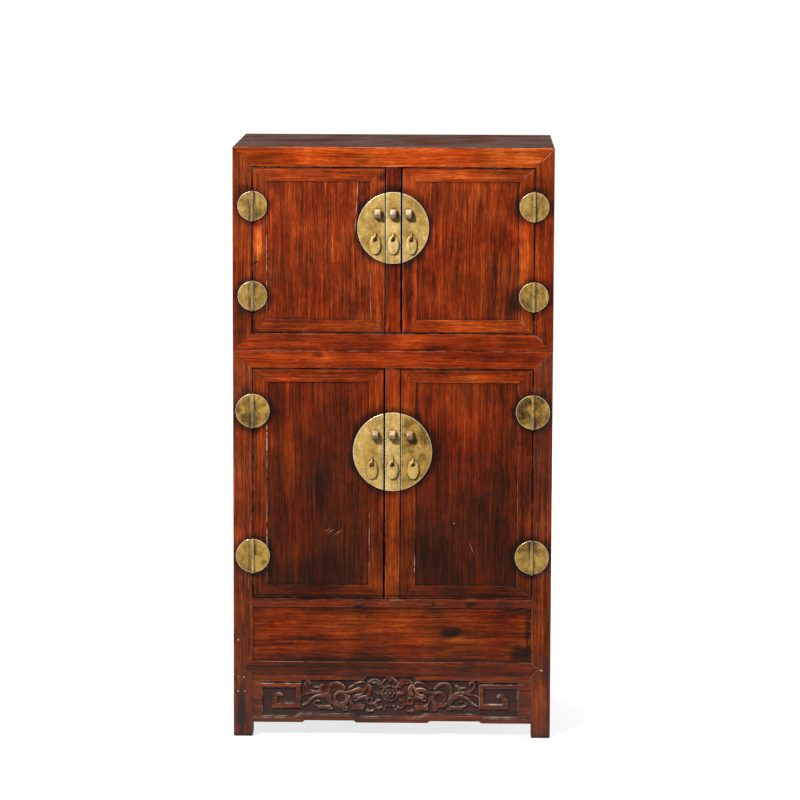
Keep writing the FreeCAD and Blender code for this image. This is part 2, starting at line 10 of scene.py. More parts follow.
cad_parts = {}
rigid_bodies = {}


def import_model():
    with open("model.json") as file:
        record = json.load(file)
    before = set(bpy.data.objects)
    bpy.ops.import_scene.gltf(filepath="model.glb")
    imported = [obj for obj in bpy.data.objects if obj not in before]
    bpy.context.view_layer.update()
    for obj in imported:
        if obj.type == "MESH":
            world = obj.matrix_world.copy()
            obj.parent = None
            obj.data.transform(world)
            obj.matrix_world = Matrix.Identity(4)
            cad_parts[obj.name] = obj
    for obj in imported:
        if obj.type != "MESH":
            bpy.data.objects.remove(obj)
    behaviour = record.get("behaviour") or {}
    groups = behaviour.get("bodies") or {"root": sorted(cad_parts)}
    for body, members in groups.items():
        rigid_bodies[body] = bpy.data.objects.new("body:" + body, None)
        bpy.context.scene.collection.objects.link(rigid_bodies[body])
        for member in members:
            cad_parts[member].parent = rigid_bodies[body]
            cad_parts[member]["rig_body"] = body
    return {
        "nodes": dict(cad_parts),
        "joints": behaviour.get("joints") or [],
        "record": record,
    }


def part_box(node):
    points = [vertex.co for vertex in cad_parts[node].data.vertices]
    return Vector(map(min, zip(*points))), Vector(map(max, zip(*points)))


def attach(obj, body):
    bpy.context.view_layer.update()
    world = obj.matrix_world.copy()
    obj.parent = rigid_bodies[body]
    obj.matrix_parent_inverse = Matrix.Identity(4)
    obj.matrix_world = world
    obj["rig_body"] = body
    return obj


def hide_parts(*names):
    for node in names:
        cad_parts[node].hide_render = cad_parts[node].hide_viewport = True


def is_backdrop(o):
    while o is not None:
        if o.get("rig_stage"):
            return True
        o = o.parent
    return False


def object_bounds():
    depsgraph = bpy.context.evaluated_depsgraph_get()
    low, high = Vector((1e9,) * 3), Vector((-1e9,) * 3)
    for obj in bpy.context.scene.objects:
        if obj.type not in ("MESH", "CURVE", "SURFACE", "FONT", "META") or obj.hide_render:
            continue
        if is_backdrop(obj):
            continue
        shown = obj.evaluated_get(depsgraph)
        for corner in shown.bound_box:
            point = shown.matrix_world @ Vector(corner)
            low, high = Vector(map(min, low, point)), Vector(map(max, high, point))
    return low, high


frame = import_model()
CAD_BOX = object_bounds()

# Sizes and places are in metres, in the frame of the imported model: front is -Y, +Z is up.

MM = 0.001
SEED = 1907
TIERS = ("upper", "lower")
PLACES = ("left_door", "stile", "right_door")
SIDES = {"left": -1, "right": 1}

NODES = frame["nodes"]
SLOTS = {part["node"]: part["material_slot"] for part in frame["record"]["subparts"]}
JOINTS = {joint["name"]: joint for joint in frame["joints"]}
WOOD, INNER = "red_hardwood", "inner_hardwood"

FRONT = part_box("upper_posts")[0].y
LOWER_TIER_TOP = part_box("lower_posts")[1].z
HINGE_X = JOINTS["upper_right_door_hinge"]["pos_m"][0]
BARREL_Y = JOINTS["upper_right_door_hinge"]["pos_m"][1]
BARREL_RADIUS = 2.6 * MM
BARREL_OVERHANG = 0.8 * MM
LEAF_BOX = {tier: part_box(f"{tier}_right_door_hinge_leaves") for tier in TIERS}
HINGE_RADIUS = {tier: high.x - low.x - BARREL_RADIUS for tier, (low, high) in LEAF_BOX.items()}
HINGE_LEVELS = {
    tier: (high.z - HINGE_RADIUS[tier] - BARREL_OVERHANG, low.z + HINGE_RADIUS[tier])
    for tier, (low, high) in LEAF_BOX.items()
}
PLATE_BOX = {tier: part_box(f"{tier}_stile_lock_plate") for tier in TIERS}
PLATE_LEVEL = {tier: (low.z + high.z) / 2 for tier, (low, high) in PLATE_BOX.items()}
PLATE_RADIUS = {tier: (high.z - low.z) / 2 for tier, (low, high) in PLATE_BOX.items()}
OPENINGS = (
    (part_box("sill_rail")[1].z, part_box("lower_left_door_frame")[1].z),
    (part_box("upper_left_door_frame")[0].z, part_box("upper_left_door_frame")[1].z),
)


# Objects


def add_object(name, data):
    """A new object in the scene."""
    item = bpy.data.objects.new(name, data)
    bpy.context.scene.collection.objects.link(item)
    return item


def add_piece(name, node, material, points, faces, **layers):
    """A smooth mesh that stands for a node, which it hides: it rides on the node's body.

    Each layer has a number or a triple for every point.
    """
    mesh = bpy.data.meshes.new(name)
    mesh.from_pydata(points, [], faces)
    for polygon in mesh.polygons:
        polygon.use_smooth = True
    for layer, values in layers.items():
        values = np.asarray(values, np.float32)
        kind, field = ("FLOAT", "value") if values.ndim == 1 else ("FLOAT_VECTOR", "vector")
        mesh.attributes.new(layer, kind, "POINT").data.foreach_set(field, values.ravel())
    mesh.materials.append(material)
    piece = add_object(name, mesh)
    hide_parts(node)
    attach(piece, NODES[node]["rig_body"])
    return piece


def quads(index, close_rows, close_columns):
    """Four-sided faces over a grid of vertex numbers, which may close on itself either way."""
    after = np.roll(index, -1, axis=0)
    corners = (index, np.roll(index, -1, axis=1), np.roll(after, -1, axis=1), after)
    rows, columns = index.shape
    kept = (slice(rows if close_rows else rows - 1), slice(columns if close_columns else columns - 1))
    return np.stack([corner[kept] for corner in corners], axis=-1).reshape(-1, 4).tolist()


def weigh_normals(piece):
    """Keeps broad faces flat to the eye beside their rounded edges."""
    modifier = piece.modifiers.new("broad_faces_flat", "WEIGHTED_NORMAL")
    modifier.weight = 100
    modifier.keep_sharp = True


# Materials


class Value:
    """What a node gives: a number, a colour or a vector, for sums and for other nodes."""

    def __init__(self, shader, socket):
        self.shader = shader
        self.socket = socket

    def math(self, operation, other=0.0):
        return self.shader.add("ShaderNodeMath", {0: self, 1: other}, operation=operation)

    def __add__(self, other):
        return self.math("ADD", other)

    __radd__ = __add__

    def __sub__(self, other):
        return self.math("SUBTRACT", other)

    def __rsub__(self, other):
        return self.shader.add("ShaderNodeMath", {0: other, 1: self}, operation="SUBTRACT")

    def __mul__(self, other):
        return self.math("MULTIPLY", other)

    def __abs__(self):
        return self.math("ABSOLUTE")

    def at_least(self, other):
        return self.math("MAXIMUM", other)

    def at_most(self, other):
        return self.math("MINIMUM", other)

    def vector(self, operation, other=(0, 0, 0), output="Vector"):
        inputs = {0: self, 1: other}
        return self.shader.add("ShaderNodeVectorMath", inputs, output, operation=operation)

    def split(self):
        node = self.shader.node("ShaderNodeSeparateXYZ", {0: self})
        return [Value(self.shader, socket) for socket in node.outputs]

    def noise(self, grains, detail=2.0, roughness=0.5, output="Fac"):
        """Noise from 0 to 1, with so many grains to the metre, the same each way or not."""
        each_way = grains if isinstance(grains, tuple) else (grains,) * 3
        scaled = self.vector("MULTIPLY", each_way)
        inputs = {"Vector": scaled, "Scale": 1.0, "Detail": detail, "Roughness": roughness}
        return self.shader.add("ShaderNodeTexNoise", inputs, output)

    def wander(self, grains, amount):
        """A place moved about by up to about the amount, so that what is drawn there is irregular."""
        offset = self.noise(grains, 3.0, output="Color").vector("SUBTRACT", (0.5,) * 3)
        return self.vector("ADD", offset.vector("MULTIPLY", (3 * amount,) * 3))

    def swing(self, amount):
        """Noise turned to run either side of zero."""
        return (self - 0.5) * (2 * amount)

    def rise(self, start, end, kind="SMOOTHSTEP"):
        """From 0 at start to 1 at end."""
        inputs = {"Value": self, "From Min": start, "From Max": end, "To Min": 0.0, "To Max": 1.0}
        return self.shader.add("ShaderNodeMapRange", inputs, interpolation_type=kind)

    def ramp(self, stops):
        node = self.shader.node("ShaderNodeValToRGB", {"Fac": self})
        elements = node.color_ramp.elements
        while len(elements) < len(stops):
            elements.new(0.5)
        for element, (position, colour) in zip(elements, stops):
            element.position = position
            element.color = (*colour, 1)
        return Value(self.shader, node.outputs["Color"])

    def between(self, first, second):
        """The first colour at 0 and the second at 1."""
        return self.shader.add("ShaderNodeMix", {0: self, 6: first, 7: second}, 2, data_type="RGBA")

    def bump(self, strength, distance):
        inputs = {"Height": self, "Strength": strength, "Distance": distance}
        return self.shader.add("ShaderNodeBump", inputs, "Normal")


class Shader:
    """The nodes of one material or of the world, with short calls for those that it needs."""

    def __init__(self, owner, output="ShaderNodeOutputMaterial"):
        self.owner = owner
        owner.use_nodes = True
        self.tree = owner.node_tree
        self.tree.nodes.clear()
        self.output = self.tree.nodes.new(output)

    def feed(self, socket, value):
        if isinstance(value, Value):
            self.tree.links.new(value.socket, socket)
        else:
            socket.default_value = (*value, 1) if socket.type == "RGBA" else value

    def node(self, kind, inputs, **settings):
        node = self.tree.nodes.new(kind)
        for name, value in settings.items():
            setattr(node, name, value)
        for name, value in inputs.items():
            self.feed(node.inputs[name], value)
        return node

    def add(self, kind, inputs, output=0, **settings):
        """A new node, as the value that it gives."""
        return Value(self, self.node(kind, inputs, **settings).outputs[output])

    def attribute(self, name, output="Fac"):
        return self.add("ShaderNodeAttribute", {}, output, attribute_name=name)

    def place(self):
        return self.add("ShaderNodeTexCoord", {}, "Object")

    def join(self, x, y, z):
        return self.add("ShaderNodeCombineXYZ", {"X": x, "Y": y, "Z": z})

    def rays(self):
        """1 for what the eye sees, also through glass, and 1 for what is mirrored."""
        outputs = self.node("ShaderNodeLightPath", {}).outputs
        names = ("Is Camera Ray", "Is Transmission Ray", "Is Glossy Ray")
        seen, through, mirrored = (Value(self, outputs[name]) for name in names)
        return seen.at_least(through), mirrored

    def finish(self, surface):
        self.feed(self.output.inputs["Surface"], surface)
        return self.owner

    def surface(self, **inputs):
        named = {name.replace("_", " "): value for name, value in inputs.items()}
        return self.finish(self.add("ShaderNodeBsdfPrincipled", named))


# Wood colours, from the near black of grime and painted shade to worn and polished heartwood, with the
# level of each
HEARTWOOD = (
    (0.00, (0.017, 0.0066, 0.0043)),
    (0.20, (0.046, 0.0100, 0.0048)),
    (0.40, (0.125, 0.0180, 0.0036)),
    (0.60, (0.240, 0.0360, 0.0056)),
    (0.80, (0.440, 0.0720, 0.0085)),
    (1.00, (0.660, 0.2000, 0.0500)),
)
DRY_WOOD = (
    (0.00, (0.030, 0.015, 0.009)),
    (0.35, (0.120, 0.055, 0.028)),
    (0.65, (0.250, 0.125, 0.065)),
    (1.00, (0.420, 0.250, 0.140)),
)
DUST = (0.085, 0.066, 0.056)
GAP_SHADE = (0.011, 0.006, 0.004)
BROWN_TINT = (0.98, 1.22, 1.28)
RED_TINT = (1.03, 0.76, 0.74)
EDGE_WEAR_AND_SHEEN = (0.460, 0.240, 0.140)
CARVED_WEAR_AND_GLINT = (0.680, 0.545, 0.455)
PALE_SCRATCH = (0.680, 0.520, 0.400)
SHINE = 0.08
DULL = {"upper_top_frame": 0.0}
HALO_WIDTH = 14 * MM
BROKEN_LENGTH = 15 * MM
SHADE_REACH = 7 * MM
BRASS_SHADE_REACH = 5 * MM
FOOT_GRIME_TOP = 170 * MM


class Mark:
    """A mark on the front, a mark of use or in a few places a painted shadow: a turned ellipse that changes
    the wood's level or leaves it pale.

    Its place and half sizes are in millimetres, its turn in degrees.
    """

    def __init__(self, x, z, half_x, half_z, change=0.0, pale=0.0, turn=0.0):
        self.centre = (x * MM, 0, z * MM)
        self.half = (half_x * MM, half_z * MM)
        self.change = change
        self.pale = pale
        self.turn = math.radians(turn)

    def mask(self, place):
        """1 in the middle of the mark, fading to 0 past its outline."""
        inputs = {"Vector": place, "Center": self.centre, "Angle": self.turn}
        turned = place.shader.add("ShaderNodeVectorRotate", inputs, rotation_type="Y_AXIS")
        offset = turned.vector("SUBTRACT", self.centre)
        share = offset.vector("MULTIPLY", (1 / self.half[0], 0, 1 / self.half[1]))
        return share.vector("LENGTH", output="Value").rise(1.25, 0.2)


def scratch(x_start, z_start, x_end, z_end, width=0.7, pale=0.7):
    """A pale straight scratch between two places, in millimetres."""
    run, climb = x_end - x_start, z_end - z_start
    middle = ((x_start + x_end) / 2, (z_start + z_end) / 2)
    turn = math.degrees(math.atan2(climb, run))
    return Mark(*middle, math.hypot(run, climb) / 2, width, pale=pale, turn=turn)


def fleck(x, z, size=1.1):
    return Mark(x, z, size, size, pale=1.6)


# Marks that show on the front, by the node that bears them, in millimetres
MARKS = {
    "upper_top_frame": (
        Mark(-196, 881, 60, 22, -0.17), Mark(-90, 884, 40, 7, -0.07), Mark(186, 880, 50, 16, 0.08),
    ),
    "upper_posts": (
        scratch(212.5, 867, 239.5, 894, 0.6, 0.50), scratch(212.8, 616.5, 226, 603.5, 0.6, 0.45),
        Mark(-226, 860, 16, 40, -0.10), Mark(-226, 740, 14, 120, -0.06), Mark(226, 640, 12, 40, -0.08),
        Mark(226, 740, 14, 110, -0.07),
    ),
    "upper_left_door_frame": (
        Mark(-201, 753, 10, 30, 0.30), Mark(-16, 852, 7, 9, -0.40),
        scratch(-189, 787, -189, 640, 0.7, 0.45), scratch(-33.6, 712, -33.6, 640, 0.7, 0.45),
        Mark(-206, 724, 8, 2.4, -0.36), Mark(-24, 698, 8, 60, 0.04), Mark(-100, 626, 90, 8, 0.06),
    ),
    "upper_left_door_panel": (
        scratch(-52.8, 846, -54.2, 818, 0.5, 0.65), scratch(-54.2, 818, -56.0, 793, 0.5, 0.65),
        scratch(-56.0, 793, -57.2, 768, 0.5, 0.5), Mark(-50, 820, 6, 34, -0.16),
        Mark(-120, 709, 30, 70, -0.06), Mark(-60, 680, 26, 50, -0.12), Mark(-170, 840, 30, 16, -0.10),
    ),
    "upper_right_door_frame": (
        Mark(22, 690, 9, 80, -0.32), Mark(197, 739, 9, 50, 0.16), Mark(100, 627, 100, 9, 0.16),
        Mark(90, 856, 70, 9, 0.08),
    ),
    "lower_left_door_frame": (
        scratch(-189.2, 520, -189, 400, 0.9, 0.65), scratch(-189, 390, -189.2, 230, 0.8, 0.5),
        scratch(-34.8, 363, -34.8, 240, 0.7, 0.35), Mark(-24, 320, 9, 130, -0.08),
        # Mark(-110, 214, ...) is a painted shadow under the door
        Mark(-198, 400, 8, 120, 0.05), Mark(-110, 214, 110, 2.6, -0.5), Mark(-110, 225, 110, 12, -0.12),
    ),
    "lower_left_door_panel": (
        scratch(-100, 316, -93.5, 321.5, 0.4, 0.5), scratch(-98, 312.5, -88, 320, 0.4, 0.5),
        scratch(-87.5, 311, -75.5, 319, 0.4, 0.5), Mark(-130, 395, 30, 110, 0.02),
        Mark(-110, 400, 20, 80, -0.08), Mark(-95, 253, 60, 40, -0.08),
    ),
    "lower_right_door_frame": (
        Mark(199, 400, 9, 130, -0.17), scratch(33.6, 284, 33.6, 238, 0.8, 0.65),
        Mark(24, 330, 12, 130, -0.05), Mark(24, 240, 12, 40, -0.08), Mark(110, 225, 110, 12, -0.14),
        Mark(110, 554, 90, 9, 0.07),
    ),
    "lower_right_door_panel": (
        scratch(114.5, 304, 125, 279.5, 0.4, 0.4), fleck(93, 329.5, 0.7), Mark(110, 506, 70, 45, 0.08),
        Mark(95, 263, 50, 60, -0.06), Mark(110, 390, 60, 60, -0.04),
    ),
    "lower_top_frame": (Mark(-113, 585, 9, 5.5, -0.36), Mark(-60, 578, 60, 6, 0.10)),
    "sill_rail": (
        # Mark(-110, 213, ...) is a painted shadow line below the left door
        Mark(-110, 213, 100, 2.2, -0.34), Mark(-50, 201.5, 8, 2.4, -0.4),
        scratch(-55, 207.5, 12, 206.5, 0.4, 0.35), scratch(-20, 211.5, 24, 212, 0.4, 0.5),
        Mark(62, 206.5, 3, 4, -0.3), Mark(118, 205.5, 10, 4, -0.34),
    ),
    "compartment_front_panel": (
        Mark(90, 162, 19, 9, -0.40, turn=12), Mark(104, 152, 26, 7, 0.14), Mark(196, 130, 20, 14, -0.38),
        Mark(205, 157, 4, 40, -0.34), Mark(-111, 154, 50, 5, -0.18), Mark(-60, 174, 130, 13, 0.06),
        # Mark(0, 119.5, ...) is a painted shadow band along the bottom of the panel
        Mark(0, 119.5, 205, 4.5, -0.24), Mark(150, 165, 60, 34, -0.06),
    ),
    "lower_posts": (
        Mark(-228.5, 36, 6.5, 48, -0.46), fleck(-233, 149), fleck(-233, 92.5, 0.8), fleck(-224, 91.5),
        fleck(-233, 70), fleck(-223.5, 70, 0.9), Mark(226, 105, 2.6, 1.2, pale=1.4, turn=-15),
        Mark(-226, 400, 14, 130, 0.05), Mark(226, 400, 14, 150, -0.13), Mark(226, 330, 13, 60, -0.09),
        Mark(226, 40, 16, 60, 0.34), Mark(-226, 160, 14, 70, -0.07),
    ),
}


def mark_masks(place, marks):
    """How far the marks change the level of the wood, and how pale they leave it."""
    change, pale = 0.0, 0.0
    irregular = place.wander(90, 3.5 * MM)
    broken = place.noise(110, 2).rise(0.40, 0.58)
    for mark in marks:
        mask = mark.mask(irregular if mark.change else place)
        if mark.change:
            change = mask * mark.change + change
        if mark.pale:
            whole = mark.half[0] < BROKEN_LENGTH
            pale = (mask * mark.pale * (1.0 if whole else broken)).at_least(pale)
    front = on_the_front(place)
    return front * change, front * pale


def on_the_front(place):
    """1 on the cabinet's front, 0 behind it."""
    return place.split()[1].rise(FRONT + 6 * MM, FRONT + 4 * MM)


def door_gap_shade(place):
    """Painted shade in the gaps round the doors: 1 along the edges of each opening, on the front only."""
    x, _, z = place.split()
    aside = abs(x) - HINGE_X
    gap = 1.0
    for low, high in OPENINGS:
        above = abs(z - (low + high) / 2) - (high - low) / 2
        gap = abs(aside.at_least(above)).at_most(gap)
    uneven = gap + place.noise(60, 3).swing(1.2 * MM)
    return uneven.rise(2.2 * MM, 0.8 * MM) * on_the_front(place)


def brass_grime_and_shadow(place):
    """Grime that polishing leaves round the brass, and painted shadow that the brass casts: 1 at its rim,
    fading outwards, on the front only.
    """
    x, _, z = place.split()
    folded = place.shader.join(abs(x), 0.0, z)
    rims = [((HINGE_X, 0, level), HINGE_RADIUS[tier]) for tier in TIERS for level in HINGE_LEVELS[tier]]
    rims += [((0, 0, PLATE_LEVEL[tier]), PLATE_RADIUS[tier]) for tier in TIERS]
    gap = 1.0
    for centre, radius in rims:
        gap = (folded.vector("DISTANCE", centre, "Value") - radius).at_most(gap)
    uneven = gap + place.noise(45).swing(9 * MM)
    return uneven.rise(HALO_WIDTH, 0.5 * MM) * on_the_front(place)


def wood(name, colours, marks=(), gloss=0.36, halo_depth=0.25, shine=SHINE, worn_and_sheen=EDGE_WEAR_AND_SHEEN, wear_and_sheen=0.70):
    """Straight-grained hardwood. The mesh gives its grain, its finish and where its edges are worn and
    carry a painted highlight.
    """
    shader = Shader(bpy.data.materials.new(name))
    place = shader.place()
    edge = shader.attribute("edge")
    level, dust, redness = shader.attribute("finish", "Vector").split()

    # The figure, along a grain that wavers
    grain = shader.attribute("grain", "Vector")
    along, across, deep = grain.split()
    waver = grain.noise((4, 14, 14)).swing(7 * MM)
    ripple = grain.noise((16, 60, 60)).swing(1.2 * MM)
    bent = shader.join(along, across + waver + ripple, deep)
    figure = bent.noise((4, 70, 70), 4, 0.62)
    streak = bent.noise((6, 300, 300), 3, 0.6)
    fibre = bent.noise((18, 620, 620), 2, 0.6)
    speckle = bent.noise((110, 520, 520), 2, 0.6)
    stain = bent.noise((9, 44, 44), 3, 0.6).rise(0.54, 0.70)
    pores = bent.noise((22, 260, 260), 2, 0.6).rise(0.56, 0.63)
    cloud = place.noise(17, 4, 0.65)
    figured = figure.swing(0.30) + streak.swing(0.32) + fibre.swing(0.42) + speckle.swing(0.24)
    figured = figured + cloud.swing(0.34) - stain * 0.13 - pores * 0.08
    contrast = (0.40 + level * 1.20).at_most(1.45 - level * 0.95)

    # Painted shade in seams and corners, darker and dustier low down, and grime with painted shadow round
    # the brass
    near_floor = place.split()[2].rise(FOOT_GRIME_TOP, 0.0)
    open_air = occlusion(shader, SHADE_REACH)
    bare = arris_in_the_open(open_air)
    seam = edge * (1.0 - bare)
    level = level + figured * contrast - seam * 0.22 - near_floor * 0.08 + (open_air - 1.0) * 0.64
    if halo_depth:
        level = level - brass_grime_and_shadow(place) * halo_depth
    if marks:
        change, pale = mark_masks(place, marks)
        level = level + change

    # Colour, and on it dust, painted shade in the door gaps, worn edges with a painted highlight, and
    # scratches
    colour = level.ramp(colours)
    if colours is HEARTWOOD:
        colour = tinted(colour, place, redness)
    patchy = 1.0 + place.noise((12, 26, 26), 4, 0.65).swing(2.6)
    dust = dust * patchy + near_floor * 0.23
    colour = dust.between(colour, DUST)
    if colours is HEARTWOOD:
        # Painted shade along the gaps round the doors
        colour = (door_gap_shade(place) * 0.75).between(colour, GAP_SHADE)
    rubbed_and_sheen = edge * place.noise(70, 3).rise(0.38, 0.62) * bare * level.rise(0.05, 0.25)
    colour = (rubbed_and_sheen * wear_and_sheen).between(colour, worn_and_sheen)
    if marks:
        colour = pale.at_most(1.0).between(colour, PALE_SCRATCH)
    return shader.surface(
        Base_Color=colour,
        Roughness=gloss + cloud.swing(0.10) + dust * 0.30 + streak.swing(0.06),
        Specular_IOR_Level=shine,
        Normal=(fibre * 0.6 + streak * 0.4).bump(0.25, 0.12 * MM),
    )


def tinted(colour, place, redness):
    """The colour of the wood wanders from brown to red. The lower parts are browner."""
    height = place.split()[2].rise(0.0, 0.6)
    red = place.noise(11, 4, 0.6) + redness + height * 0.15 - 0.1
    return colour.vector("MULTIPLY", red.rise(0.2, 0.8).between(BROWN_TINT, RED_TINT))


def occlusion(shader, reach):
    """How open the surface is: low in corners and seams, where it drives painted shade."""
    inputs = {"Color": (1, 1, 1), "Distance": reach}
    return shader.add("ShaderNodeAmbientOcclusion", inputs, "AO", samples=6)


def arris_in_the_open(open_air):
    """1 where hands and cloths reach an arris, 0 in a seam. Upper arrises count more, for a painted
    highlight where light falls from above.
    """
    upward = open_air.shader.add("ShaderNodeNewGeometry", {}, "Normal").split()[2]
    upper = upward.rise(0.50, 0.62) * open_air.rise(0.20, 0.45)
    return open_air.rise(0.45, 0.75).at_least(upper)


BRASS_COLOURS = (
    (0.00, (0.036, 0.018, 0.006)),
    (0.30, (0.200, 0.110, 0.023)),
    (0.55, (0.370, 0.220, 0.050)),
    (0.80, (0.560, 0.360, 0.100)),
    (1.00, (0.760, 0.540, 0.205)),
)
COPPERY_COLOURS = (
    (0.00, (0.030, 0.016, 0.009)),
    (0.30, (0.170, 0.088, 0.042)),
    (0.55, (0.340, 0.200, 0.100)),
    (0.80, (0.550, 0.370, 0.215)),
    (1.00, (0.800, 0.610, 0.430)),
)
GOLDEN_BRASS = (0.560, 0.330, 0.050)
BRASS_RUB_AND_SHEEN = (0.950, 0.800, 0.570)
TARNISH = (0.095, 0.058, 0.026)


def brass(name, colours, gold):
    """Old brass: brushed up and down, mottled, with tarnish in spots, painted shade in its corners, and
    bright rubbed rims that carry a painted highlight.
    """
    shader = Shader(bpy.data.materials.new(name))
    place = shader.place()
    edge = shader.attribute("edge")
    tone = shader.attribute("finish")
    patch = place.noise(30, 3, 0.55)
    mottle = place.noise((95, 95, 70), 4, 0.65)
    brushed = place.noise((640, 640, 24), 2)
    fine = place.noise(430, 2)
    spots = place.noise(190, 3, 0.65).rise(0.58, 0.72)
    # Painted shade in the corners and seams of the brass
    painted_shade = 1.0 - occlusion(shader, BRASS_SHADE_REACH)
    level = 0.72 + tone + patch.swing(0.48) + mottle.swing(0.54)
    level = level + brushed.swing(0.22) + fine.swing(0.22) - painted_shade
    low_down = place.split()[2].rise(LOWER_TIER_TOP + 20 * MM, LOWER_TIER_TOP - 20 * MM)
    golden = place.noise(60, 3, 0.6).rise(0.48, 0.62) * (0.5 + low_down * 1.2) * gold
    colour = golden.between(level.ramp(colours), GOLDEN_BRASS)
    colour = (spots * 0.5).between(colour, TARNISH)
    # Rubbed rims, with a painted highlight
    colour = (edge * mottle.rise(0.18, 0.42) * 0.85).between(colour, BRASS_RUB_AND_SHEEN)
    return shader.surface(
        Base_Color=colour,
        Metallic=0.35,
        Roughness=0.40 + mottle.swing(0.14) + spots * 0.25 - edge * 0.12,
        Specular_IOR_Level=0.3,
        Normal=(brushed * 0.4 + fine * 0.4 + mottle * 1.8).bump(0.4, 0.3 * MM),
    )


FLOOR_GLOW = 0.78


def plain_floor():
    """White to the eye, with a soft shadow near the object. It lights the object as a grey floor would.

    The white sweep runs under the object and behind it. In front of it the floor mirrors as a dim one.
    """
    shader = Shader(bpy.data.materials.new("pale_floor"))
    seen, mirrored = shader.rays()
    place = shader.place()
    on_sweep = place.split()[1].rise(-1.6, -0.4)
    away = place.vector("LENGTH", output="Value").rise(0.35, 1.5)
    dim = shader.add("ShaderNodeBsdfDiffuse", {"Color": (0.12, 0.12, 0.12)})
    lit = shader.add("ShaderNodeBsdfDiffuse", {"Color": (0.25, 0.25, 0.25)})
    strength = FLOOR_GLOW + away * (1 - FLOOR_GLOW)
    glow = shader.add("ShaderNodeEmission", {"Color": (1, 1, 1), "Strength": strength})
    shown = shader.add("ShaderNodeAddShader", {0: lit, 1: glow})
    bright = seen.at_least(mirrored * on_sweep)
    return shader.finish(shader.add("ShaderNodeMixShader", {0: bright, 1: dim, 2: shown}))


# How bright and how dusty each wooden piece is, as (level at its top, level at its foot, dust). The levels
# are partly the wood's own tone and partly painted light: pieces high up and the tops of pieces are
# lighter, as light falls from above.
USUAL_TONE = (0.50, 0.46, 0.0)
TONES = {
    "upper_top_frame": (0.74, 0.71, 0.0),
    "upper_top_panel": (0.40, 0.40, 0.45),
    "upper_posts": (0.555, 0.485, 0.0),
    "upper_base_frame": (0.58, 0.54, 0.0),
    "upper_left_door_frame": (0.585, 0.51, 0.0),
    "upper_right_door_frame": (0.63, 0.54, 0.0),
    "upper_left_door_panel": (0.46, 0.44, 0.0),
    "upper_right_door_panel": (0.54, 0.45, 0.0),
    "upper_centre_stile": (0.39, 0.45, 0.0),
    "lower_top_frame": (0.585, 0.545, 0.0),
    "lower_posts": (0.54, 0.45, 0.08),
    "lower_left_door_frame": (0.475, 0.37, 0.0),
    "lower_right_door_frame": (0.515, 0.39, 0.0),
    "lower_left_door_panel": (0.36, 0.20, 0.0),
    "lower_right_door_panel": (0.42, 0.20, 0.0),
    "lower_centre_stile": (0.56, 0.51, 0.0),
    "sill_rail": (0.44, 0.41, 0.06),
    "compartment_front_panel": (0.51, 0.47, 0.0),
    "base_frame": (0.33, 0.31, 0.03),
    "aprons": (0.485, 0.485, 0.0),
    "upper_side_panels": (0.52, 0.46, 0.0),
    "lower_side_panels": (0.48, 0.38, 0.0),
}
REDNESS = {"upper_centre_stile": 0.40, "upper_base_frame": 0.15, "lower_top_frame": 0.15}
# How far the pieces of a node differ in level, and how far apart their grain is taken from
LEVEL_SPREAD = 0.03
GRAIN_SHIFT = 20
# The dusty top: its level and dust, and the rounded edges that belong to it, all but the front one
TOP_SURFACE = (0.19, 0.47)
TOP_EDGE = 2 * MM
FRONT_EDGE = 3 * MM
UPRIGHT_GRAIN = ("upper_side_panels", "upper_back_panel", "lower_back_panel")


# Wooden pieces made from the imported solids

LEAST_EDGE = 4 * MM
SHARP_ANGLE = math.radians(20)
ARRIS = {"upper_posts": 1.1 * MM, "lower_posts": 1.2 * MM, "upper_top_frame": 1.0 * MM}
USUAL_ARRIS = 0.8 * MM
FOOT_ARRIS = 3.2 * MM
WELD = 0.002 * MM


def packed_solids(node):
    """The node's solids, each a list of faces. A solid is complete when its faces close it."""
    mesh = NODES[node].data
    places = [tuple(round(value / WELD) for value in vertex.co) for vertex in mesh.vertices]
    open_edges, faces = set(), []
    for polygon in mesh.polygons:
        faces.append([mesh.vertices[index].co for index in polygon.vertices])
        corners = [places[index] for index in polygon.vertices]
        for start, end in zip(corners, corners[1:] + corners[:1]):
            if (end, start) in open_edges:
                open_edges.remove((end, start))
            else:
                open_edges.add((start, end))
        if not open_edges:
            yield faces
            faces = []


def sharp_edges(shape):
    """The edges that are long and sharp enough to be rounded."""
    long_edges = [edge for edge in shape.edges if edge.is_manifold and edge.calc_length() > LEAST_EDGE]
    return [edge for edge in long_edges if edge.calc_face_angle() > SHARP_ANGLE]


def soften(shape, edges, width, segments):
    """Rounds the edges and gives the new faces."""
    return bmesh.ops.bevel(
        shape, geom=edges, offset=width, segments=segments, profile=0.5, affect="EDGES", clamp_overlap=True
    )["faces"]


def rounded_solid(faces, width):
    """A solid with its long sharp edges rounded, and their crests marked for wear and painted sheen."""
    shape = bmesh.new()
    for corners in faces:
        shape.faces.new([shape.verts.new(corner) for corner in corners])
    bmesh.ops.remove_doubles(shape, verts=shape.verts, dist=WELD)
    bmesh.ops.dissolve_limit(
        shape, angle_limit=math.radians(0.5), verts=shape.verts, edges=shape.edges, delimit={"NORMAL"}
    )
    on_floor = [edge for edge in sharp_edges(shape) if max(vertex.co.z for vertex in edge.verts) < WELD]
    if on_floor:
        soften(shape, on_floor, FOOT_ARRIS, 5)
    rounded = set(soften(shape, sharp_edges(shape), width, 2))
    shape.verts.index_update()
    worn_and_sheen = [float(all(face in rounded for face in vertex.link_faces)) for vertex in shape.verts]
    points = np.array([vertex.co for vertex in shape.verts])
    polygons = [[vertex.index for vertex in face.verts] for face in shape.faces]
    shape.free()
    return points, polygons, worn_and_sheen


def grain_order(node, points):
    """The axes from along the grain to across it: along the solid's length, or upright."""
    spans = np.ptp(points, axis=0)
    if node in UPRIGHT_GRAIN:
        spans[2] = 1.0
    return np.argsort(-spans, kind="stable")


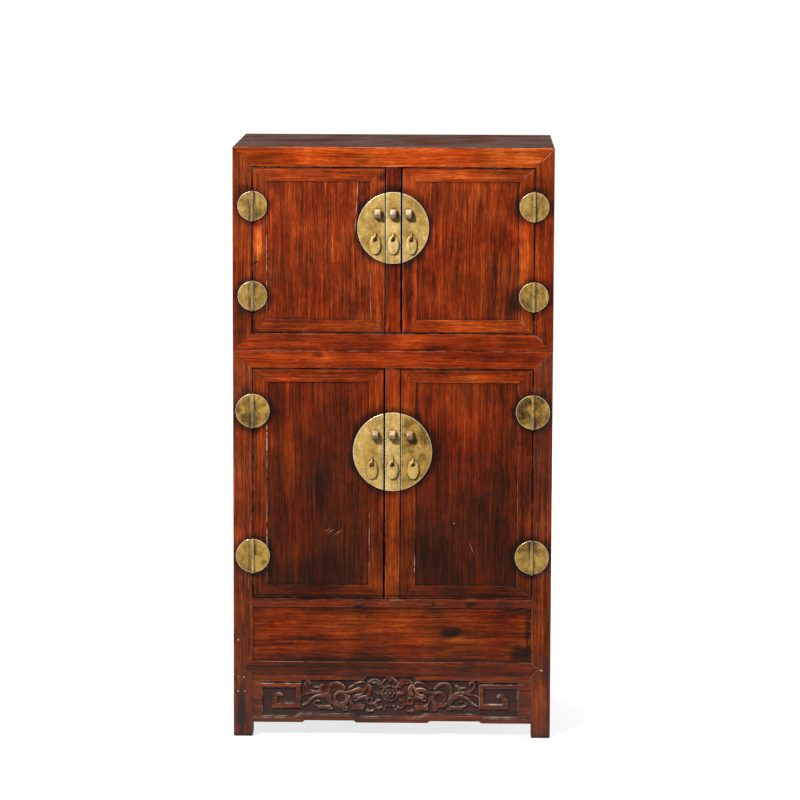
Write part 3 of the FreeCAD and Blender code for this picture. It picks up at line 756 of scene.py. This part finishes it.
def wooden_piece(node, material, keep=None):
    """A node's solids with worn edges and grain. Keep, if given, says which solids belong."""
    chance = random.Random(f"{SEED} {node}")
    low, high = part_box(node)
    top_level, foot_level, dust = TONES.get(node, USUAL_TONE)
    redness = REDNESS.get(node, 0.0)
    points, polygons, worn_and_sheen, grain, finish = [], [], [], [], []
    for faces in packed_solids(node):
        corners, sides, crests = rounded_solid(faces, ARRIS.get(node, USUAL_ARRIS))
        shift = [chance.uniform(-GRAIN_SHIFT, GRAIN_SHIFT) for _ in range(3)]
        own = chance.uniform(-LEVEL_SPREAD, LEVEL_SPREAD)
        if keep and not keep(corners):
            continue
        polygons += [[index + len(points) for index in side] for side in sides]
        grain += list(corners[:, grain_order(node, corners)] + shift)
        for corner in corners:
            # Lighter towards the top of each piece, partly the wood's tone and partly painted light from
            # above
            height = (corner[2] - low.z) / (high.z - low.z)
            level = foot_level + (top_level - foot_level) * height + own
            on_top = corner[2] > CAD_BOX[1].z - WELD
            on_top |= corner[2] > CAD_BOX[1].z - TOP_EDGE and corner[1] > FRONT + FRONT_EDGE
            finish.append((*TOP_SURFACE, 0) if on_top else (level, dust, redness))
        points += list(corners)
        worn_and_sheen += crests
    layers = {"grain": grain, "finish": finish, "edge": worn_and_sheen}
    weigh_normals(add_piece(f"{node}_finished", node, material, points, polygons, **layers))


# The carved front apron, in millimetres as drawn

APRON_THICK = 16
APRON_TOP = 96
CARVING_MIDDLE = -2.7
APRON_HALF = 211
APRON_FACE = FRONT + 1 * MM
GRID_STEP = 0.62
GROUND_DEPTH = 3.4
GROUND_DUST = 0.02
GROUND_SHADE = 0.24
EDGE_ROUND = 1.2
WALL = 0.55
APRON_GRAIN_SHIFT = (3.1, 1.7, 0.4)

# Strokes of the relief right of its middle, in millimetres: half-widths at start and end, and points
STROKES = {
    "body coil": (
        (2.7, 2.2), (68.7, 74.5), (73.7, 79.8), (80.7, 82.6), (87.7, 81.5), (92, 76), (93, 68), (91.2, 60),
        (87.7, 53), (82.7, 48.7), (76.7, 46.8), (70.7, 48), (66.2, 53), (64.7, 60), (67.7, 66.3),
        (73.7, 69.3), (79.5, 67.8),
    ),
    "tail arch": (
        (3.0, 2.0), (90.7, 52), (94.7, 57.5), (99.7, 61.5), (105.7, 63), (111.7, 62), (116.7, 59.5),
        (121.2, 55.5), (125.7, 51), (131.5, 48.3),
    ),
    "stem": (
        (2.5, 1.8), (93.7, 62.5), (98.7, 66), (104.7, 68.2), (112.7, 68.5), (119.7, 70.3), (125, 73.5),
        (128, 77.8), (128.4, 82.3), (125, 85.3), (121.4, 83.4), (122.2, 80.6),
    ),
    "stem leaf": ((2.4, 1.0), (118, 67), (124.7, 66), (129.7, 64.5), (133.7, 62.5)),
    "sprig": ((2.0, 2.6), (106, 70), (105.2, 75), (103.2, 78.8)),
    "sprig tip": ((1.7, 1.0), (105.7, 75.8), (110, 76.2), (114.2, 76)),
    "sprig bud": ((1.8, 1.2), (103.2, 79.2), (99.7, 79.2)),
    "lower leaf": ((2.6, 3.3), (91.7, 46), (99.7, 45.4), (106.7, 45)),
    "lower tip": ((1.3, 1.0), (87.7, 43.2), (93.7, 41.8)),
    "curl under the arch": (
        (1.8, 1.5), (106.7, 54), (110, 55.4), (113.5, 54), (116, 51.5), (114, 48.6), (110.5, 47.8),
    ),
    "mane": ((1.6, 1.9), (37.7, 81.5), (40, 84), (44.2, 84.2), (50.7, 82.4), (56.7, 78.6), (61.7, 74.8)),
    "head": ((3.4, 2.6), (42, 72.8), (48, 73.2), (54, 71.2), (60, 69), (66, 68)),
    "snout": ((1.7, 1.5), (37, 76.5), (38.2, 72), (41.2, 68), (45.2, 65), (51.2, 64.2)),
    "jaw": ((3.4, 2.6), (38.7, 61), (43, 60.3), (47.5, 59)),
    "chin": ((2.0, 1.7), (39.2, 47.6), (43.7, 48.8), (49.7, 47), (55.7, 48.5), (59.2, 53), (60.2, 58.5)),
    "inner lower leaf": ((2.4, 2.6), (41, 44.2), (48, 43.8), (56, 43.4)),
    "leaf by the head": ((3.6, 3.0), (33.5, 78), (30.8, 75), (30.3, 70), (32.7, 66)),
    "cloud arch": (
        (2.2, 1.8), (12.7, 80.5), (15.7, 85), (19.7, 88), (23.7, 88.6), (28.7, 86.8), (32.7, 83.8),
    ),
    "cloud": ((2.2, 1.8), (17.5, 80.5), (21, 83.5), (26, 83)),
    "finial": ((1.8, 1.6), (0, 91.3), (4.2, 90.4), (7.7, 88), (10.5, 84.5)),
    "rosette hook": ((1.7, 1.4), (8, 76), (11.5, 77.5), (15, 76.4)),
    "rosette leaf": ((3.0, 1.0), (14.2, 67.4), (18.7, 66.8), (22.7, 68)),
    "scroll": ((1.9, 1.7), (14.5, 56.5), (19.2, 56), (22, 52.5), (20.5, 47.5), (16.5, 44.3), (12.5, 46)),
    "scroll foot": ((2.2, 1.8), (22.5, 52), (28.5, 50.5), (35, 52)),
    "bottom curl": ((1.9, 1.5), (26.2, 40.3), (30.7, 39.5), (34.7, 41.3), (34, 37.8)),
    "fret curl": ((4.4, 2.4), (174.9, 54), (174.7, 59), (172.3, 63.2), (168.1, 64.6), (164.5, 63)),
}
# Rings as (centre, radius, half-width), and knobs as (centre, radius)
RINGS = (((74.7, 59.5), 9.0, 2.2), ((52.2, 59), 3.1, 1.5), ((31, 56.3), 3.9, 1.6), ((67.5, 43.3), 2.6, 1.4))
KNOBS = (
    ((0, 86), 3.2), ((0, 47), 2.2), ((5.4, 47.4), 2.0),
    ((8.5, 42.5), 1.7), ((57, 41.8), 1.7), ((62, 62), 2.0),
)
# Bars of the end fret, as (x from, x to, z from, z to), and the groove over it
FRET = ((135, 202, 75, 82.8), (135, 142.5, 43.5, 82.8), (135, 179.3, 43.5, 52), (170.3, 179.3, 43.5, 60))
FRET_SPAN = (133, 202)
FRET_END = 193
FRET_GROOVE = 83.6
FRET_WEAR_AND_GLINT = 0.5
# The top of the carved field, as (x, z)
ROOF = ((34, 92.8), (40, 87), (133, 87), (134, 84))
# The rosette in the middle
ROSETTE_Z = 67
ROSETTE_RADIUS = 11.4
ROSETTE_RIM = 1.7
PETALS = 8
PETAL_RING = 6.2
PETAL_RADIUS = 2.5
HEART_RADIUS = 2.9
# The lower edge and the bead over it, which are higher between the steps at their start and end
EDGE_LOW = 22
EDGE_LIFT = 3
EDGE_STEPS = ((54, 58), (132, 136))
BEAD = 32.6
BEAD_LIFT = 4.0
BEAD_STEPS = ((47, 53.3), (136.5, 143.5))
BEAD_WEAR_AND_GLINT = 0.5
BEAD_GROOVE = 30.4
GROOVE_DEPTH = 0.45
GROOVE_HALF = 0.9


def raised(x, start, end):
    """1 between two steps, 0 outside them."""
    return np.interp(x, start, (0, 1)) * np.interp(x, end, (1, 0))


def bar_height(x, z, bar):
    """A flat-topped bar with steep sides: 1 on top, 0 on the ground."""
    left, right, low, high = bar
    inside = np.minimum(np.minimum(x - left, right - x), np.minimum(z - low, high - z))
    return np.clip(0.5 + inside / (2 * WALL), 0, 1)


def spline(points, steps=14):
    """A smooth line through the points."""
    points = np.array([points[0], *points, points[-1]], float)
    line = []
    for before, start, end, after in zip(points, points[1:], points[2:], points[3:]):
        for t in np.linspace(0, 1, steps, endpoint=False):
            line.append(
                0.5 * (2 * start + (end - before) * t + (2 * before - 5 * start + 4 * end - after) * t**2
                       + (3 * start - before - 3 * end + after) * t**3)
            )
    return np.array([*line, points[-1]])


def band_height(distance, half_width):
    """Across a carved band: steep sides and, if it is broad, a hollow between two crests."""
    wall = np.clip(0.5 - (distance - half_width) / (2 * WALL), 0, 1)
    hollow = 0.26 * np.clip(1 - (distance / (0.72 * half_width)) ** 2, 0, 1)
    return wall * (1 - hollow)


def stroke_height(x, z, widths, points):
    """A carved band along a smooth line whose half-width changes from one end to the other."""
    line = spline(points)
    height = np.zeros_like(x)
    near = np.full_like(x, np.inf)
    for share, (line_x, line_z) in zip(np.linspace(0, 1, len(line)), line):
        half_width = widths[0] + (widths[1] - widths[0]) * share
        distance = np.hypot(x - line_x, z - line_z)
        closer = distance - half_width < near
        near = np.where(closer, distance - half_width, near)
        height = np.where(closer, band_height(distance, half_width), height)
    return height


def rosette_knobs():
    """The petals and the heart of the rosette, as knobs."""
    petals = [((x, ROSETTE_Z + z), PETAL_RADIUS) for z, x in circle(PETAL_RING, PETALS)]
    return [*petals, ((0, ROSETTE_Z), HEART_RADIUS)]


def relief(x, z):
    """How far the carving stands up from its ground, from 0 to 1, for places at x from its middle."""
    lift = BEAD_LIFT * raised(x, *BEAD_STEPS)
    over_roof = z - np.interp(x, *zip(*ROOF))
    margin = np.maximum(np.maximum(over_roof, x - FRET_END), BEAD + lift - z)
    height = np.clip(0.5 + margin / (2 * WALL), 0, 1)
    for bar in FRET:
        height = np.maximum(height, bar_height(x, z, bar))
    for widths, *points in STROKES.values():
        height = np.maximum(height, stroke_height(x, z, widths, points))
    for (centre_x, centre_z), radius, half_width in (*RINGS, ((0, ROSETTE_Z), ROSETTE_RADIUS, ROSETTE_RIM)):
        distance = np.abs(np.hypot(x - centre_x, z - centre_z) - radius)
        height = np.maximum(height, band_height(distance, half_width))
    for (centre_x, centre_z), radius in (*KNOBS, *rosette_knobs()):
        distance = np.hypot(x - centre_x, z - centre_z) / radius
        height = np.maximum(height, np.sqrt(np.clip(1 - distance**2, 0, 1)))
    at_fret = (x > FRET_SPAN[0]) & (x < FRET_SPAN[1])
    over_fret = np.where(at_fret, np.abs(z - FRET_GROOVE), np.inf)
    groove = np.minimum(np.abs(z - BEAD_GROOVE - lift), over_fret)
    return height - GROOVE_DEPTH * np.clip(1 - groove / GROOVE_HALF, 0, 1)


def smoothed(height):
    """The mean height round each point of the grid."""
    padded = np.pad(height, 1, mode="edge")
    return np.lib.stride_tricks.sliding_window_view(padded, (3, 3)).mean(axis=(2, 3))


def worn_and_glinting_crests(x, z, height):
    """Where the carving is rubbed and glints, as a painted highlight: its upper crests most, the bead less,
    the fret on every side.
    """
    mean = smoothed(height)
    upper_side = np.clip(0.40 - 2.6 * np.gradient(mean, axis=0), 0.30, 1)
    at_fret = np.abs(x - CARVING_MIDDLE) > FRET[0][0] - 1
    upper_side = np.where(at_fret, np.maximum(upper_side, FRET_WEAR_AND_GLINT), upper_side)
    crest = np.clip((height - mean) * 15 - 0.6, 0, 1) * upper_side
    crest *= np.where(z < BEAD + BEAD_LIFT + 1, BEAD_WEAR_AND_GLINT, 1)
    return np.where(at_fret, np.clip(1.4 * smoothed(crest), 0, 1), crest)


def carved_apron(material):
    """The front apron: a board whose face is carved, closed behind by plain faces."""
    columns = 2 * round(APRON_HALF / GRID_STEP) + 1
    rows = round((APRON_TOP - EDGE_LOW) / GRID_STEP) + 1
    xs = np.linspace(-APRON_HALF, APRON_HALF, columns)
    edge_z = EDGE_LOW + EDGE_LIFT * raised(np.abs(xs), *EDGE_STEPS)
    z = edge_z + np.linspace(0, 1, rows)[:, None] * (APRON_TOP - edge_z)
    x = np.repeat(xs[None, :], rows, axis=0)
    carved = relief(np.abs(x - CARVING_MIDDLE), z)
    height = smoothed(carved)
    over_edge = np.clip(1 - (z - edge_z) / EDGE_ROUND, 0, 1)
    rounding = EDGE_ROUND * (1 - np.sqrt(1 - 0.98 * over_edge**2))
    face = np.stack([x, GROUND_DEPTH * (1 - height) + rounding, z], axis=-1)

    # Two more rows behind, at the top and at the lower edge, close the board
    back = np.full(columns, APRON_THICK)
    behind = [np.stack([xs, back, end + 0 * xs], axis=-1) for end in (APRON_TOP, edge_z)]
    points = np.concatenate([face, behind]).reshape(-1, 3) * MM + (0, APRON_FACE, 0)
    index = np.arange(len(points)).reshape(-1, columns)
    faces = quads(index, close_rows=True, close_columns=False)
    faces += [index[::-1, 0].tolist(), index[:, -1].tolist()]
    # The carved ground is darker, as painted shade, and a little dustier
    ground = np.pad(1 - height, ((0, 2), (0, 0))).ravel()
    _, level, dust = TONES["aprons"]
    add_piece(
        "front_apron_carved",
        "aprons",
        material,
        points.tolist(),
        faces,
        grain=points[:, [0, 2, 1]] + APRON_GRAIN_SHIFT,
        finish=np.stack([level - GROUND_SHADE * ground, dust + GROUND_DUST * ground, 0 * ground], axis=-1),
        edge=np.pad(worn_and_glinting_crests(x, z, carved), ((0, 2), (0, 0))).ravel(),
    )


# Brass fittings


class Metal:
    """A mesh under construction, from closed shapes added one by one, with the rims marked as rubbed, where
    a painted highlight also goes.
    """

    def __init__(self):
        self.points = []
        self.faces = []
        self.edge = []
        self.tones = []
        self.tone = 0.0

    def rings(self, rings, rubbed_and_sheen, closed=False):
        """Joins rings of equal length into a skin, capped at both ends unless it closes on itself."""
        count = len(rings[0])
        index = len(self.points) + np.arange(len(rings) * count).reshape(-1, count)
        for ring, shine in zip(rings, rubbed_and_sheen):
            self.points += [tuple(point) for point in ring]
            self.edge += [shine] * count
            self.tones += [self.tone] * count
        self.faces += quads(index, close_rows=closed, close_columns=True)
        if not closed:
            self.faces += [index[0, ::-1].tolist(), index[-1].tolist()]

    def piece(self, name, node, material, tone=0.0):
        """The finished object. The tone, one number or one for each point, adds to what its shapes have."""
        layers = {"edge": self.edge, "finish": np.array(self.tones) + tone}
        piece = add_piece(name, node, material, self.points, self.faces, **layers)
        shape = bmesh.new()
        shape.from_mesh(piece.data)
        bmesh.ops.recalc_face_normals(shape, faces=shape.faces)
        shape.to_mesh(piece.data)
        shape.free()
        weigh_normals(piece)


def inset(outline, distance):
    """An outline drawn in by a distance. It runs anticlockwise in X and Z."""
    points = np.array(outline)
    runs = np.roll(points, -1, axis=0) - points
    lengths = np.hypot(runs[:, :1], runs[:, 1:])
    after = np.hstack([-runs[:, 1:], runs[:, :1]]) / lengths
    before = np.roll(after, 1, axis=0)
    spread = np.maximum(1 + (before * after).sum(axis=1, keepdims=True), 0.4)
    return points + distance * (before + after) / spread


def sheet_metal(metal, outline, back, face, rim):
    """A flat plate of the outline with a rounded rim round its face."""
    steps = 4
    rings = [[(x, back, z) for x, z in outline]]
    rubbed_and_sheen = [0.0]
    for step in range(steps + 1):
        angle = math.pi / 2 * step / steps
        drawn = inset(outline, rim * (1 - math.cos(angle)))
        rings.append([(x, face + rim * (1 - math.sin(angle)), z) for x, z in drawn])
        rubbed_and_sheen.append(1.0 if 0 < step < steps else 0.3)
    rings.append([(x, face, z) for x, z in inset(outline, rim + 0.8 * MM)])
    rubbed_and_sheen.append(0.0)
    metal.rings(rings, rubbed_and_sheen)


def arc(radius, start, end, pitch=1.6 * MM):
    count = max(3, round(radius * abs(end - start) / pitch))
    angles = [start + (end - start) * step / count for step in range(count + 1)]
    return [(radius * math.cos(angle), radius * math.sin(angle)) for angle in angles]


def cut_disc(radius, left, right):
    """A disc about the origin between two upright lines, anticlockwise."""
    turn_right = math.acos(min(right / radius, 1))
    turn_left = math.acos(max(left / radius, -1))
    upper = arc(radius, turn_right, turn_left)
    lower = arc(radius, -turn_left, -turn_right)
    if turn_left == math.pi:
        lower = lower[1:]
    if turn_right == 0:
        lower = lower[:-1]
    return upper + lower


PLATE_TONES = {"lower_left_door": 0.12, "lower_stile": 0.13, "lower_right_door": -0.22}


def lock_plates(tier, material):
    """The three parts of a round lock plate."""
    radius, level = PLATE_RADIUS[tier], PLATE_LEVEL[tier]
    for place in PLACES:
        node = f"{tier}_{place}_lock_plate"
        low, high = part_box(node)
        outline = [(x, z + level) for x, z in cut_disc(radius, low.x, high.x)]
        metal = Metal()
        sheet_metal(metal, outline, high.y, low.y, 0.7 * MM)
        metal.piece(f"{node}_brass", node, material, PLATE_TONES.get(f"{tier}_{place}", 0.0))


def circle(radius, steps):
    turns = [2 * math.pi * step / steps for step in range(steps)]
    return [(radius * math.cos(turn), radius * math.sin(turn)) for turn in turns]


def barrel(metal, x, y, low, high, radius):
    """A knuckle of a hinge: a round barrel with softened ends."""
    soft = 0.5 * MM
    profile = ((low, radius - soft), (low + soft, radius), (high - soft, radius), (high, radius - soft))
    rings = [[(x + across, y + out, z) for across, out in circle(size, 20)] for z, size in profile]
    metal.rings(rings, (0.25, 0.10, 0.10, 0.25))


KNUCKLE_GAP = 0.3 * MM
LEAF = 1.6 * MM
LEAF_CLEARANCE = 0.3 * MM
HINGE_TONE = -0.24
# Hinges that are darker or brighter than the rest, counted from the top
HINGE_TONES = {
    ("upper", "left", 0): -0.12,
    ("upper", "right", 0): 0.06,
    ("lower", "left", 0): -0.08,
    ("lower", "left", 1): 0.15,
    ("lower", "right", 0): -0.13,
}


def hinge_leaf(metal, side, level, radius, holder):
    """A half disc on the post or the door, with the knuckle that belongs to it."""
    room = BARREL_RADIUS + LEAF_CLEARANCE
    half_gap = KNUCKLE_GAP / 2
    outline = arc(radius, -math.pi / 2, math.acos(room / radius))
    outline += [(room, -half_gap), (0.0, -half_gap)]
    owns_low = holder == "post"
    outward = (holder == "post") == (side == "right")
    if not owns_low:
        outline = [(x, -z) for x, z in reversed(outline)]
    if not outward:
        outline = [(-x, z) for x, z in reversed(outline)]
    x_axis = SIDES[side] * HINGE_X
    placed = [(x + x_axis, z + level) for x, z in outline]
    sheet_metal(metal, placed, FRONT, FRONT - LEAF, 0.5 * MM)
    reach = radius + BARREL_OVERHANG
    span = (level - reach, level - half_gap) if owns_low else (level + half_gap, level + reach)
    barrel(metal, x_axis, BARREL_Y, *span, BARREL_RADIUS)


def hinges(material):
    """All the hinge leaves: those of the posts in one piece, and those of each door in another."""
    fixed = Metal()
    for tier in TIERS:
        for side in SIDES:
            hung = Metal()
            for count, level in enumerate(HINGE_LEVELS[tier]):
                fixed.tone = hung.tone = HINGE_TONE + HINGE_TONES.get((tier, side, count), 0.0)
                hinge_leaf(fixed, side, level, HINGE_RADIUS[tier], "post")
                hinge_leaf(hung, side, level, HINGE_RADIUS[tier], "door")
            node = f"{tier}_{side}_door_hinge_leaves"
            hung.piece(f"{node}_brass", node, material)
    fixed.piece("hinge_post_leaves_brass", "hinge_post_leaves", material)


def measures(node):
    """The low and the high corner of a node's box, its middle and half its size."""
    low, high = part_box(node)
    return low, high, (low + high) / 2, (high - low) / 2


STAPLE_BORE = 3.2 * MM
SHANK_RADIUS = 3.0 * MM
STAPLE_SOFT = 2.2 * MM
STAPLE_SQUARE = 0.45
STAPLE_TONE = -0.30
STAPLE_PAINTED_SHADING = 0.36


def staple(node, plate_face, material):
    """A lug with a cross bore and softened edges, on a shank driven into the wood, with painted shade that
    makes it lighter at the top and darker below.
    """
    low, high, middle, half = measures(node)
    radius = half.z
    bore_y = low.y + radius
    steps = 48

    def lug_ring(x, size):
        """Round in front, and squarer behind, down to the plate."""
        points = []
        for out, up in circle(size, steps):
            y, z = -out, up
            if y > 0:
                y *= (plate_face - bore_y) / radius
                z = math.copysign(min(abs(z) + STAPLE_SQUARE * (size - abs(z)), size), z) if z else 0.0
            points.append((x, bore_y + y, middle.z + z))
        return points

    rings, rubbed_and_sheen = [], []
    for share in np.linspace(-1, 1, 13):
        inside = max(0.0, abs(share) * half.x - (half.x - STAPLE_SOFT)) / STAPLE_SOFT
        size = radius - STAPLE_SOFT * (1 - math.sqrt(1 - min(inside, 1) ** 2))
        rings.append(lug_ring(middle.x + half.x * share, size))
        rubbed_and_sheen.append(0.25 if inside > 0.3 else 0.08)
    for x in (middle.x + half.x, middle.x - half.x):
        rings.append([(x, bore_y - out, middle.z + up) for out, up in circle(STAPLE_BORE, steps)])
        rubbed_and_sheen.append(0.0)
    metal = Metal()
    metal.rings(rings, rubbed_and_sheen, closed=True)
    shank = circle(SHANK_RADIUS, 24)
    metal.rings([[(middle.x + x, y, middle.z + z) for x, z in shank] for y in (plate_face, high.y)], (0, 0))
    # Painted shade: lighter at the top and darker below
    heights = (np.array(metal.points)[:, 2] - middle.z) / radius
    metal.piece(f"{node}_brass", node, material, STAPLE_TONE + STAPLE_PAINTED_SHADING * heights)


LOOP_STEPS = 16
LOOP_TONE = -0.05
LOOP_SHADE = -1.0


def pull_loop(node, material):
    """A round wire bent forward into a loop, with two legs driven into the wood.

    Its lower half, where the pull hangs, is darkened as painted shade.
    """
    low, high, middle, half = measures(node)
    wire = half.x
    bend = half.z - wire
    centre_y = low.y + wire + bend
    path = [(high.y, middle.z - bend, 0.0)]
    for step in range(LOOP_STEPS + 1):
        angle = math.pi * step / LOOP_STEPS
        path.append((centre_y - bend * math.sin(angle), middle.z - bend * math.cos(angle), angle))
    path.append((high.y, middle.z + bend, math.pi))
    section = circle(wire, LOOP_STEPS)
    rings, rubbed_and_sheen, tones = [], [], []
    for y, z, angle in path:
        sine, cosine = math.sin(angle), math.cos(angle)
        rings.append([(middle.x + side, y - out * sine, z - out * cosine) for side, out in section])
        is_upper = angle > math.pi / 2
        rubbed_and_sheen.append(0.2 if is_upper else 0.0)
        tones.append(LOOP_TONE if is_upper else LOOP_SHADE)
    metal = Metal()
    metal.rings(rings, rubbed_and_sheen)
    metal.piece(f"{node}_brass", node, material, np.repeat(tones, LOOP_STEPS))


PULL_HEAD = 6.6 * MM
PULL_HOLE = 2.4 * MM
PULL_STEPS = 56


def pull(node, material):
    """A hanging leaf of brass: round at the head, narrowing below, crowned, with a hole for its loop."""
    low, high, middle, half = measures(node)
    hole_z = high.z - PULL_HEAD

    def leaf_point(cosine, sine, share):
        """Between the hole's edge at share 0 and the leaf's outline at share 1."""
        narrow = 0.97 - 0.12 * max(0.0, -sine) ** 1.5
        full_x = math.copysign(abs(cosine) ** 0.80, cosine)
        full_z = math.copysign(abs(sine) ** 0.92, sine)
        outer = (half.x * narrow * full_x, middle.z + half.z * 0.985 * full_z)
        inner = (PULL_HOLE * cosine, hole_z + PULL_HOLE * sine)
        return tuple(a + (b - a) * share for a, b in zip(inner, outer))

    # From the hole outwards over the face, and back behind: share, depth, how rubbed, tone. The tone
    # darkens the hole and the back as painted shade, and how rubbed also gives a painted highlight.
    stations = (
        (0.00, high.y - 0.5 * MM, 0.0, -0.60),
        (0.00, low.y + 0.5 * MM, 0.0, -0.35),
        (0.06, low.y + 0.15 * MM, 0.1, -0.15),
        (0.20, low.y, 0.0, 0.06),
        (0.50, low.y + 0.02 * MM, 0.0, 0.14),
        (0.80, low.y + 0.2 * MM, 0.0, 0.12),
        (0.95, low.y + 0.5 * MM, 0.15, 0.06),
        (1.00, low.y + 0.9 * MM, 0.2, 0.0),
        (1.00, high.y - 0.3 * MM, 0.0, -0.2),
        (0.96, high.y, 0.0, -0.2),
        (0.06, high.y, 0.0, -0.3),
    )
    rings = []
    for share, y, _, _ in stations:
        flat = [leaf_point(cosine, sine, share) for cosine, sine in circle(1.0, PULL_STEPS)]
        rings.append([(middle.x + x, y, z) for x, z in flat])
    metal = Metal()
    metal.rings(rings, [shine for _, _, shine, _ in stations], closed=True)
    tones = np.repeat([tone for _, _, _, tone in stations], PULL_STEPS)
    metal.piece(f"{node}_brass", node, material, tones)


def brass_fittings():
    """Sheet brass for the plates, hinges and pulls, and a more coppery kind for the staples."""
    sheet = brass("aged_brass", BRASS_COLOURS, 0.40)
    cast = brass("aged_brass_coppery", COPPERY_COLOURS, 0.0)
    hinges(sheet)
    for tier in TIERS:
        lock_plates(tier, sheet)
        plate_face = PLATE_BOX[tier][0].y
        for place in PLACES:
            label = f"{tier}_{place}"
            staple(f"{label}_lock_staple", plate_face, cast)
            pull_loop(f"{label}_pull_loop", sheet)
            pull(f"{label}_pull", sheet)
    pins = NODES["hinge_pins"].data
    pins.materials.clear()
    pins.materials.append(sheet)


# The set


def add_floor():
    mesh = bpy.data.meshes.new("floor")
    reach = 30
    corners = [(x * reach, y * reach, 0) for x, y in ((-1, -1), (1, -1), (1, 1), (-1, 1))]
    mesh.from_pydata(corners, [], [(0, 1, 2, 3)])
    mesh.materials.append(plain_floor())
    floor = add_object("floor", mesh)
    floor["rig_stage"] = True


def add_lamp(name, place, target, size, power):
    light = bpy.data.lights.new(name, "AREA")
    light.shape = "RECTANGLE"
    light.size, light.size_y = size
    light.energy = power
    lamp = add_object(name, light)
    lamp.location = place
    lamp.rotation_euler = (Vector(target) - Vector(place)).to_track_quat("-Z", "Y").to_euler()


def add_light():
    add_lamp("key_softbox", (-1.0, -2.25, 2.0), (0, FRONT, 0.45), (0.4, 0.4), 106)
    add_lamp("overhead_softbox", (0.2, 0.15, 3.0), (0.1, 0.05, 0.4), (1.8, 1.4), 60)
    add_lamp("side_softbox", (2.4, 0.6, 1.5), (0.2, 0.1, 0.4), (1.2, 1.2), 30)
    add_lamp("back_softbox", (-0.9, 3.0, 1.9), (0, 0.2, 0.4), (1.4, 1.4), 45)
    bpy.context.scene.world = studio_world()


def studio_world():
    """White to the eye. It mirrors as white behind the object and as a dim room in front of it."""
    shader = Shader(bpy.data.worlds.new("studio"), "ShaderNodeOutputWorld")
    seen, mirrored = shader.rays()
    behind = shader.add("ShaderNodeTexCoord", {}, "Generated").split()[1].rise(-0.3, 0.3, "LINEAR")
    bright = seen.at_least(mirrored * (0.1 + behind * 0.9))
    inputs = {"Color": (1, 1, 1), "Strength": 0.12 + bright * 0.88}
    return shader.finish(shader.add("ShaderNodeBackground", inputs))


CAMERA_PLACE = (0.117, FRONT - 5.4, 1.248)
CAMERA_TILT = 7.454
CAMERA_TURN = 1.126
CAMERA_ROLL = 0.195
SENSOR = 36.0
LENS = 163.45
SHIFT_DOWN = -0.02


def add_camera():
    """Well in front of the cabinet and above it, looking down a little, as in the photograph."""
    data = bpy.data.cameras.new("camera")
    data.sensor_width = SENSOR
    data.lens = LENS
    data.shift_y = SHIFT_DOWN
    camera = add_object("camera", data)
    aim = Matrix.Rotation(math.radians(CAMERA_TURN), 4, "Z")
    aim = aim @ Matrix.Rotation(math.radians(90 - CAMERA_TILT), 4, "X")
    aim = aim @ Matrix.Rotation(math.radians(CAMERA_ROLL), 4, "Z")
    camera.matrix_world = Matrix.Translation(CAMERA_PLACE) @ aim
    bpy.context.scene.camera = camera


def wooden_materials():
    """One material for plain wood of each kind, and one for each node with marks of its own."""
    plain = {WOOD: wood("red_hardwood", HEARTWOOD)}
    plain[INNER] = wood("inner_hardwood", DRY_WOOD, gloss=0.62, halo_depth=0.0)
    materials = {node: plain[slot] for node, slot in SLOTS.items() if slot in plain}
    for node, marks in MARKS.items():
        materials[node] = wood(f"red_hardwood_{node}", HEARTWOOD, marks, shine=DULL.get(node, SHINE))
    materials["aprons"] = wood(
        "red_hardwood_carved", HEARTWOOD, gloss=0.30, halo_depth=0.0, shine=0.15, worn_and_sheen=CARVED_WEAR_AND_GLINT, wear_and_sheen=1.0
    )
    materials["upper_top_panel"] = wood("red_hardwood_dusty", HEARTWOOD, shine=0.0)
    return materials


def is_side_apron(corners):
    return corners[:, 0].max() * corners[:, 0].min() > 0


def main():
    materials = wooden_materials()
    for node, material in materials.items():
        wooden_piece(node, material, is_side_apron if node == "aprons" else None)
    carved_apron(materials["aprons"])
    brass_fittings()
    add_floor()
    add_light()
    add_camera()
    bpy.context.scene.view_settings.view_transform = "Standard"


main()
boxes = {"cad": CAD_BOX, "visual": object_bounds()}
{name: [list(corner) for corner in box] for name, box in boxes.items()}
